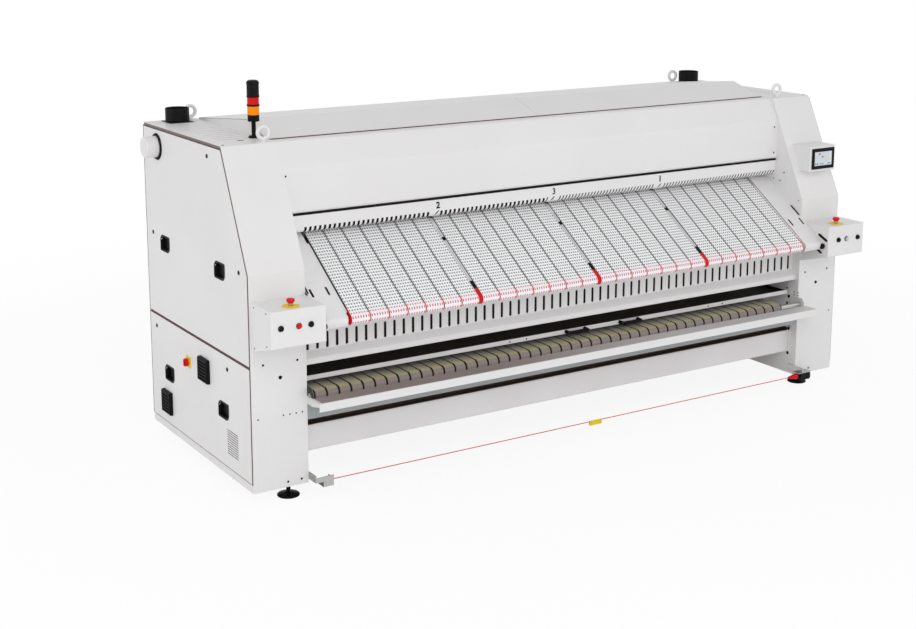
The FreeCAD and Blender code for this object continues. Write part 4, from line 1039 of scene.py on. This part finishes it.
# %% Main switch
switch = np.array([-HALF_WIDTH, 848.0, 590.0])
piece("switch_plate", [plate(switch, FORWARD, UP, 33.0, 33.0, 4.0, slab_levels(3.0, 1.0)),
                       turned([(0, 2), (20, 2), (20, 7), (19, 8), (0, 8)], switch, (-1, 0, 0))],
      "lower_left_panel", yellow_plastic, ["isolator_plate"])
knob = [(0, 8.6), (23, 8.6), (24, 9.6), (24, 20), (22.8, 25), (20.5, 26.4), (18.6, 26.2),
        (17.6, 25), (17.6, 17.5), (0, 17.5)]
piece("switch_knob", [turned(knob, switch, (-1, 0, 0), 64),
                      plate(switch - (16, 0, 0), FORWARD, UP, 6.0, 19.5, 3.0,
                            slab_levels(16.2, 2.5))],
      "isolator_handle", red_plastic, ["isolator_handle"])

# %% Touch panel
panel = np.array([1979.0, 0.0, 1529.0])
piece("panel_bezel", [plate(panel, ACROSS, UP, 99.0, 68.0, 6.0,
                            [(0, 0), (0, 5), (0.8, 6.4), (2.2, 7), (19.5, 7), (21, 5.5)])],
      "frame", black_plastic, ["touch_panel"])
piece("panel_glass", [plate(panel + (0, -5.4, 0), ACROSS, UP, 76.5, 45.5, 1.5,
                            [(0, 0), (0, 0.4), (0.3, 0.6)])],
      "frame", glass)
icons = {"screen_blue": ((46, 108, 190), [(-66, -34), (-50, -34), (46, -34), (62, -34)]),
         "screen_green": ((60, 160, 70), [(-20, -35)]),
         "screen_grey": ((120, 124, 130), [(-3, -34), (-10, 12), (-3, 12)]),
         "screen_yellow": ((236, 200, 40), [(44, -9), (63, -9)]),
         "screen_rose": ((214, 50, 50), [(-38, 32), (-30, 32)])}
for name, (tone, places) in icons.items():
    piece(name, [plate(panel + (x, -6.0, z), ACROSS, UP, 5.0, 4.5, 1.5,
                       [(0, 0), (0, 0.3), (0.2, 0.4)]) for x, z in places],
          "frame", moulded(name, rgba(*tone), 0.15, 300.0, 0.02))

# %% [markdown]
# ## Pull cups and locks
#
# Each side panel is lifted off by two black pull cups and is held by quarter-turn locks.
# The cup's outline is an oblong with two opposite corners rounded. It goes round the
# flange, down the outer wall, across the floor and up again inside, as levels of one
# plate.

# %% Pull cups
CUP_LEVELS = [(9.6, -23.5), (9.4, -1.0), (9.0, 0.1), (0.0, 0.1), (0.0, 1.2), (0.8, 2.0), (8.0, 2.0),
              (9.6, 1.2), (10.8, -1.0), (12.0, -22.4)]
for side, level, body in ((-1, 1224.0, "upper_left_panel"), (-1, 440.0, "lower_left_panel"),
                          (1, 1224.0, "upper_right_panel"), (1, 440.0, "lower_right_panel")):
    corners = (9.0, 39.0, 9.0, 39.0) if side < 0 else (39.0, 9.0, 39.0, 9.0)
    cups = [plate((side * HALF_WIDTH, y, level), (0, side, 0), UP, 71.5, 49.0, corners,
                  CUP_LEVELS) for y in (362.0, 1148.0)]
    piece("pull_cups_" + body[:-6], cups, body, black_plastic)

# %% Quarter-turn locks
LOCK = [(0, 0.1), (12, 0.1), (12.4, 0.8), (11.6, 2.2), (9.5, 2.8), (4.4, 2.8), (4.0, 1.4), (0, 1.4)]
locks = {"upper": [(487, 1830), (109, 1264), (1331, 1264)], "lower": [(1331, 692), (297, 689)]}
for side, word in ((-1, "left"), (1, "right")):
    for level, places in locks.items():
        piece("locks_%s_%s" % (level, word),
              [turned(LOCK, (side * HALF_WIDTH, y, z), (side, 0, 0), 32) for y, z in places],
              "%s_%s_panel" % (level, word), black_plastic)

# %% [markdown]
# ## Edge trims and seals
#
# A rubber trim is pushed on the edge of each side panel; its brown is painted shade, the
# shade in the gap, and it draws the fine brown lines that divide the sides. Two outlines,
# one a little outside the panel's edge and one a little inside, are joined to a ring with a
# square section. The roof gets a seal of the same brown for the shade in its seam, and the
# louvre a dark insect screen.

# %% Trims of the side panels
# depth of a side, height where its front starts to lean, lean in y over z, its slant length
# over its height, and the gap at the edge
DEPTH, BEND_LEVEL, LEAN, SLANT, GAP = 1437.0, 1265.0, 309.0 / 641.0, 1.11, 3.0


def panel_edge(low, high, inward):
    """Corners (y, z) of a panel between two heights, drawn in by a distance."""
    share = 1.0 if low > 500.0 else 0.2  # the rail hides most of the lowest edge
    low, high, front = low + inward * share, high - inward, GAP + inward
    corners = [(front, low), (DEPTH - front, low), (DEPTH - front, high)]
    if high < BEND_LEVEL:
        return corners + [(front, high)]
    return corners + [((high - BEND_LEVEL) * LEAN + GAP + inward * SLANT, high),
                      (front, BEND_LEVEL)]


# painted shade: each trim's brown draws the shade in the gap round a side panel
for level, low, high in (("upper", 771.5, 1889.0), ("lower", 126.0, 764.5)):
    for side, word in ((-1, "left"), (1, "right")):
        section = ((-1.0, 2136.6), (-1.0, 2139.7), (4.5, 2139.7), (4.5, 2136.6))
        ring = [[(side * x, y, z) for y, z in panel_edge(low, high, inward)]
                for inward, x in section]
        piece("panel_trim_gap_shade_%s_%s" % (level, word), [sheet(ring, True, True)],
              "%s_%s_panel" % (level, word), trim_gap_shade)
# painted shade: the roof seal's brown is the shade in the seam
piece("roof_seal_gap_shade", [seal(417.0, 1902.0, 4.5, 12)], "frame", trim_gap_shade)
piece("louvre_screen", [plate((-2134.5, 250.0, 277.0), FORWARD, UP, 78.0, 80.0, 4.0,
                              slab_levels(1.4, 0.5))],
      "lower_left_panel", rubber)

# %% [markdown]
# ## Screws
#
# Small heads are what tell the eye how big the machine is. One dome outline serves all of
# them; only the radius, the place and the way it faces change.

# %% Screws
def screw(place, facing, radius=6.0):
    """A low dome with a socket, its height four tenths of its radius."""
    outline = [(0, 0.05), (1, 0.05), (0.98, 0.14), (0.8, 0.32), (0.5, 0.4), (0.42, 0.4),
               (0.4, 0.15), (0, 0.15)]
    return turned([(r * radius, h * radius) for r, h in outline], place, facing, 16)


BACK_FACE = 1437
frame_screws = []
for side in (-1, 1):
    for facing, places in (
            (FORWARD, [(2064, 0, 777, 6.5), (1864, 0, 775, 6.5), (2100, 0, 483, 4.5),
                       (1952, 0, 483, 4.5), (1914, 0, 482, 4.5), (1877, 0, 482, 4.5),
                       (1840, 0, 482, 4.5), (1933, 0, 105, 6.5), (1852, 0, 106, 6.5),
                       (1966, 0, 695, 10.5)]),
            ((side, 0, 0), [(2127, -42, 1108, 4.5), (2127, -190, 1108, 4.5), (2127, -42, 889, 4.5),
                            (2127, -192, 934, 4.5)]),
            (FORWARD, [(1786, 255.0 + (z - 1508) * 3 / 255, z, 5.5) for z in (1720, 1549)]),
            ((-side, 0, 0), [(INNER, *place) for place in (
                (176, 1424, 6.0), (210, 1365, 5.0), (272, 1373, 4.5), (34, 1258, 4.5),
                (82, 600, 12.0), (98, 552, 9.0), (0, 622, 4.5), (36, 640, 4.5), (0, 642, 4.5),
                (36, 620, 4.5), (104, 655, 7.0))]),
            ((-side, 0, 0), [(INNER - 8, *place) for place in (
                (66, 383, 11.0), (66, 215, 11.0), (165, 385, 9.0), (165, 215, 9.0))]),
            (UP, [(2112, 332, TOP, 6.0)]),
            ((0, 1, 0), [(x, BACK_FACE, z, 6.0) for x in (60, 900, 1780)
                         for z in (476, 1165, 1856)]),
            ((0, 1, 0), [(x, BACK_FACE, z, 6.0) for z in (130, 1000, 1860)
                         for x in (1835, 2105)])):
        frame_screws += [screw((side * x, y, z), facing, radius) for x, y, z, radius in places]
piece("black_screws", frame_screws, "frame", black_plastic)
piece("drawer_screws", [screw((x, 86, 632), FORWARD, 5.0) for x in (-438, -320, 1100, 1220)],
      "lint_drawer", black_plastic)
print(len(frame_screws), "screws")

# %% Cable hole in the left tower top
piece("cable_hole", [plate((-1960.0, 443.0, TOP), ACROSS, (0, 1, 0), 20.0, 8.0, 7.5,
                           [(0, 0.05), (0, 0.5), (0.5, 0.8)])],
      "frame", rubber)

# %% [markdown]
# ## Drawer handles
#
# A bow handle is one bar bent twice. Its line is a rounded path in the plan view, and a
# circle is carried along it.

# %% Bow handles
BOW_LEVEL, BOW_HALF, DRAWER_FACE = 633.0, 70, 86
bows = []
for x in (41.0, 450.0):
    left, right = x - BOW_HALF, x + BOW_HALF
    plan = rounded([(left, DRAWER_FACE), (left, 50), (right, 50), (right, DRAWER_FACE)], 12.0, 7)
    bows.append(swept(np.column_stack([plan, np.full(len(plan), BOW_LEVEL)]), 10.5, 16))
    bows += [turned([(0, 0), (12, 0), (12, 2), (9, 4), (0, 4)], (end, DRAWER_FACE, BOW_LEVEL),
                    FORWARD, 32) for end in (left, right)]
piece("bow_handles", bows, "lint_drawer", black_plastic)

# %% [markdown]
# ## Pull wire
#
# A red covered wire is stretched across the front, a hand's breadth above the floor.
# Pulling or kicking it anywhere stops the machine. It leaves its hanger on the left and
# ends in the red cone of the switch on the right. A yellow tag is folded over its middle.

# %% Pull wire
WIRE = (-45.0, 85.0)  # how far back and how high the wire runs
route = [(x, *WIRE) for x in (-1699.0, 6.5, 1712.0)]
wire = bpy.data.curves.new("pull_wire", "CURVE")
wire.dimensions = "3D"
spline = wire.splines.new("NURBS")
spline.points.add(len(route) - 1)
for point, place in zip(spline.points, metres(route)):
    point.co = (*place, 1.0)
spline.order_u = 3
spline.use_endpoint_u = True
spline.resolution_u = 40
wire.bevel_depth = 0.0025
wire.bevel_resolution = 4
wire.use_fill_caps = True
pull_wire = settle("pull_wire", wire, "frame", cord_sleeve, ["pull_cord"])
fold = rounded([(-49.2, 61), (-49.2, 90), (-40.8, 90), (-40.8, 61)], 4.1, 7)
tag = piece("wire_tag", bent(fold, 60.0, 150.0, -0.9, 8), "frame", yellow_plastic)
cone = [(0, 20), (3.4, 20), (3.4, 0.4), (5.4, 0), (6.2, 0.8), (18.6, 64), (19, 67), (19, 72),
        (18, 74), (9, 74), (9, 98), (0, 98)]
end_cone = piece("wire_cone", [turned(cone, (1706.0, *WIRE), ACROSS)], "cord_plunger",
                 red_plastic, ["cord_plunger"])
print("wire length 3.411 m")

# %% [markdown]
# ## Camera and light
#
# The picture was taken with a long lens, a little above the machine and to its left. The
# camera's place comes from the vanishing points of the straight edges. The studio is a
# pale floor under a broad, even sky with four large soft lamps.

# %% Camera
camera = show("camera", bpy.data.cameras.new("camera"))
bpy.context.scene.camera = camera
camera.location = np.array([-5.2367, -6.9527, 3.1067]) + SHIFT / 1000
yaw, dip = 0.56254, 0.18856
camera.rotation_euler = (math.pi / 2 - dip, 0.0, -yaw)
# focal length and picture centre were found in pixels of a picture 916 wide and 629 high
PICTURE_WIDE, FOCAL, CENTRE_ROW, MIDDLE_ROW = 916, 1499.76, 200.0, 314.5
camera.data.sensor_width = 36.0
camera.data.lens = FOCAL * 36 / PICTURE_WIDE
camera.data.shift_y = -(MIDDLE_ROW - CENTRE_ROW) / PICTURE_WIDE
camera.data.clip_end = 200.0
print("lens", round(camera.data.lens, 1), "mm")

# %% Floor
def seen_directly(graph):
    """1 where a camera, mirror or glass ray arrives, 0 for light that bounces on."""
    camera_ray, glossy, through = (graph.node("ShaderNodeLightPath", {}, "Is %s Ray" % kind)
                                   for kind in ("Camera", "Glossy", "Transmission"))
    return camera_ray.maths("MAXIMUM", camera_ray.maths("MAXIMUM", camera_ray, glossy), through)


def blended(datum, share, output, first, second):
    """A tree whose output goes from the first shader to the second by a share."""
    datum.use_nodes = True
    graph = Graph(datum.node_tree)
    graph.tree.nodes.clear()
    graph.node(output, {0: graph.node("ShaderNodeMixShader", {
        0: share(graph), 1: graph.node(*first), 2: graph.node(*second)})})


def floor_share(graph):
    """How much a direct ray sees of the glow: 0.9 near the machine, all from 7 m away."""
    place = graph.node("ShaderNodeTexCoord", {}, out="Object")
    reach = graph.node("ShaderNodeVectorMath", {0: place}, out="Value", operation="LENGTH")
    return seen_directly(graph) * (reach.ease(2.5, 7.0) * 0.1 + 0.9)


PURE_WHITE = (1.0, 1.0, 1.0, 1.0)
floor_mesh = bpy.data.meshes.new("floor")
floor_mesh.from_pydata([(x, y, -0.0005) for x, y in ((-40, -40), (40, -40), (40, 40), (-40, 40))],
                       [], [(0, 1, 2, 3)])
ground = bpy.data.materials.new("pale_floor")
blended(ground, floor_share, "ShaderNodeOutputMaterial",
        ("ShaderNodeBsdfDiffuse", {"Color": PURE_WHITE}), ("ShaderNodeEmission", {}))
floor_mesh.materials.append(ground)
show("floor", floor_mesh)

# %% Sky
world = bpy.data.worlds.new("studio")
bpy.context.scene.world = world
blended(world, seen_directly, "ShaderNodeOutputWorld",
        ("ShaderNodeBackground", {"Color": PURE_WHITE, "Strength": 0.58}),
        ("ShaderNodeBackground", {"Color": PURE_WHITE, "Strength": 1.0}))
print("floor and sky ready")

# %% Lamps
def lamp(name, place, target, size, watts):
    """A square soft lamp that faces a point."""
    data = bpy.data.lights.new(name, "AREA")
    data.size, data.energy = size, watts
    thing = show(name, data)
    thing.location = place
    away = np.array(place) - np.array(target)
    thing.rotation_euler = (math.atan2(np.hypot(away[0], away[1]), away[2]), 0,
                            math.atan2(away[0], -away[1]))


lamp("key", (-3.0, -7.0, 5.5), (0, 0, 1.0), 5.0, 158)
lamp("fill", (5.5, -6.0, 3.5), (0.5, 0, 1.0), 4.0, 44)
lamp("left", (-8.0, 1.0, 3.0), (-1.5, 0, 1.0), 4.0, 85)
lamp("low", (-1.0, -8.0, 0.9), (0, 0, 0.6), 4.0, 70)
bpy.context.scene.view_settings.view_transform = "Standard"
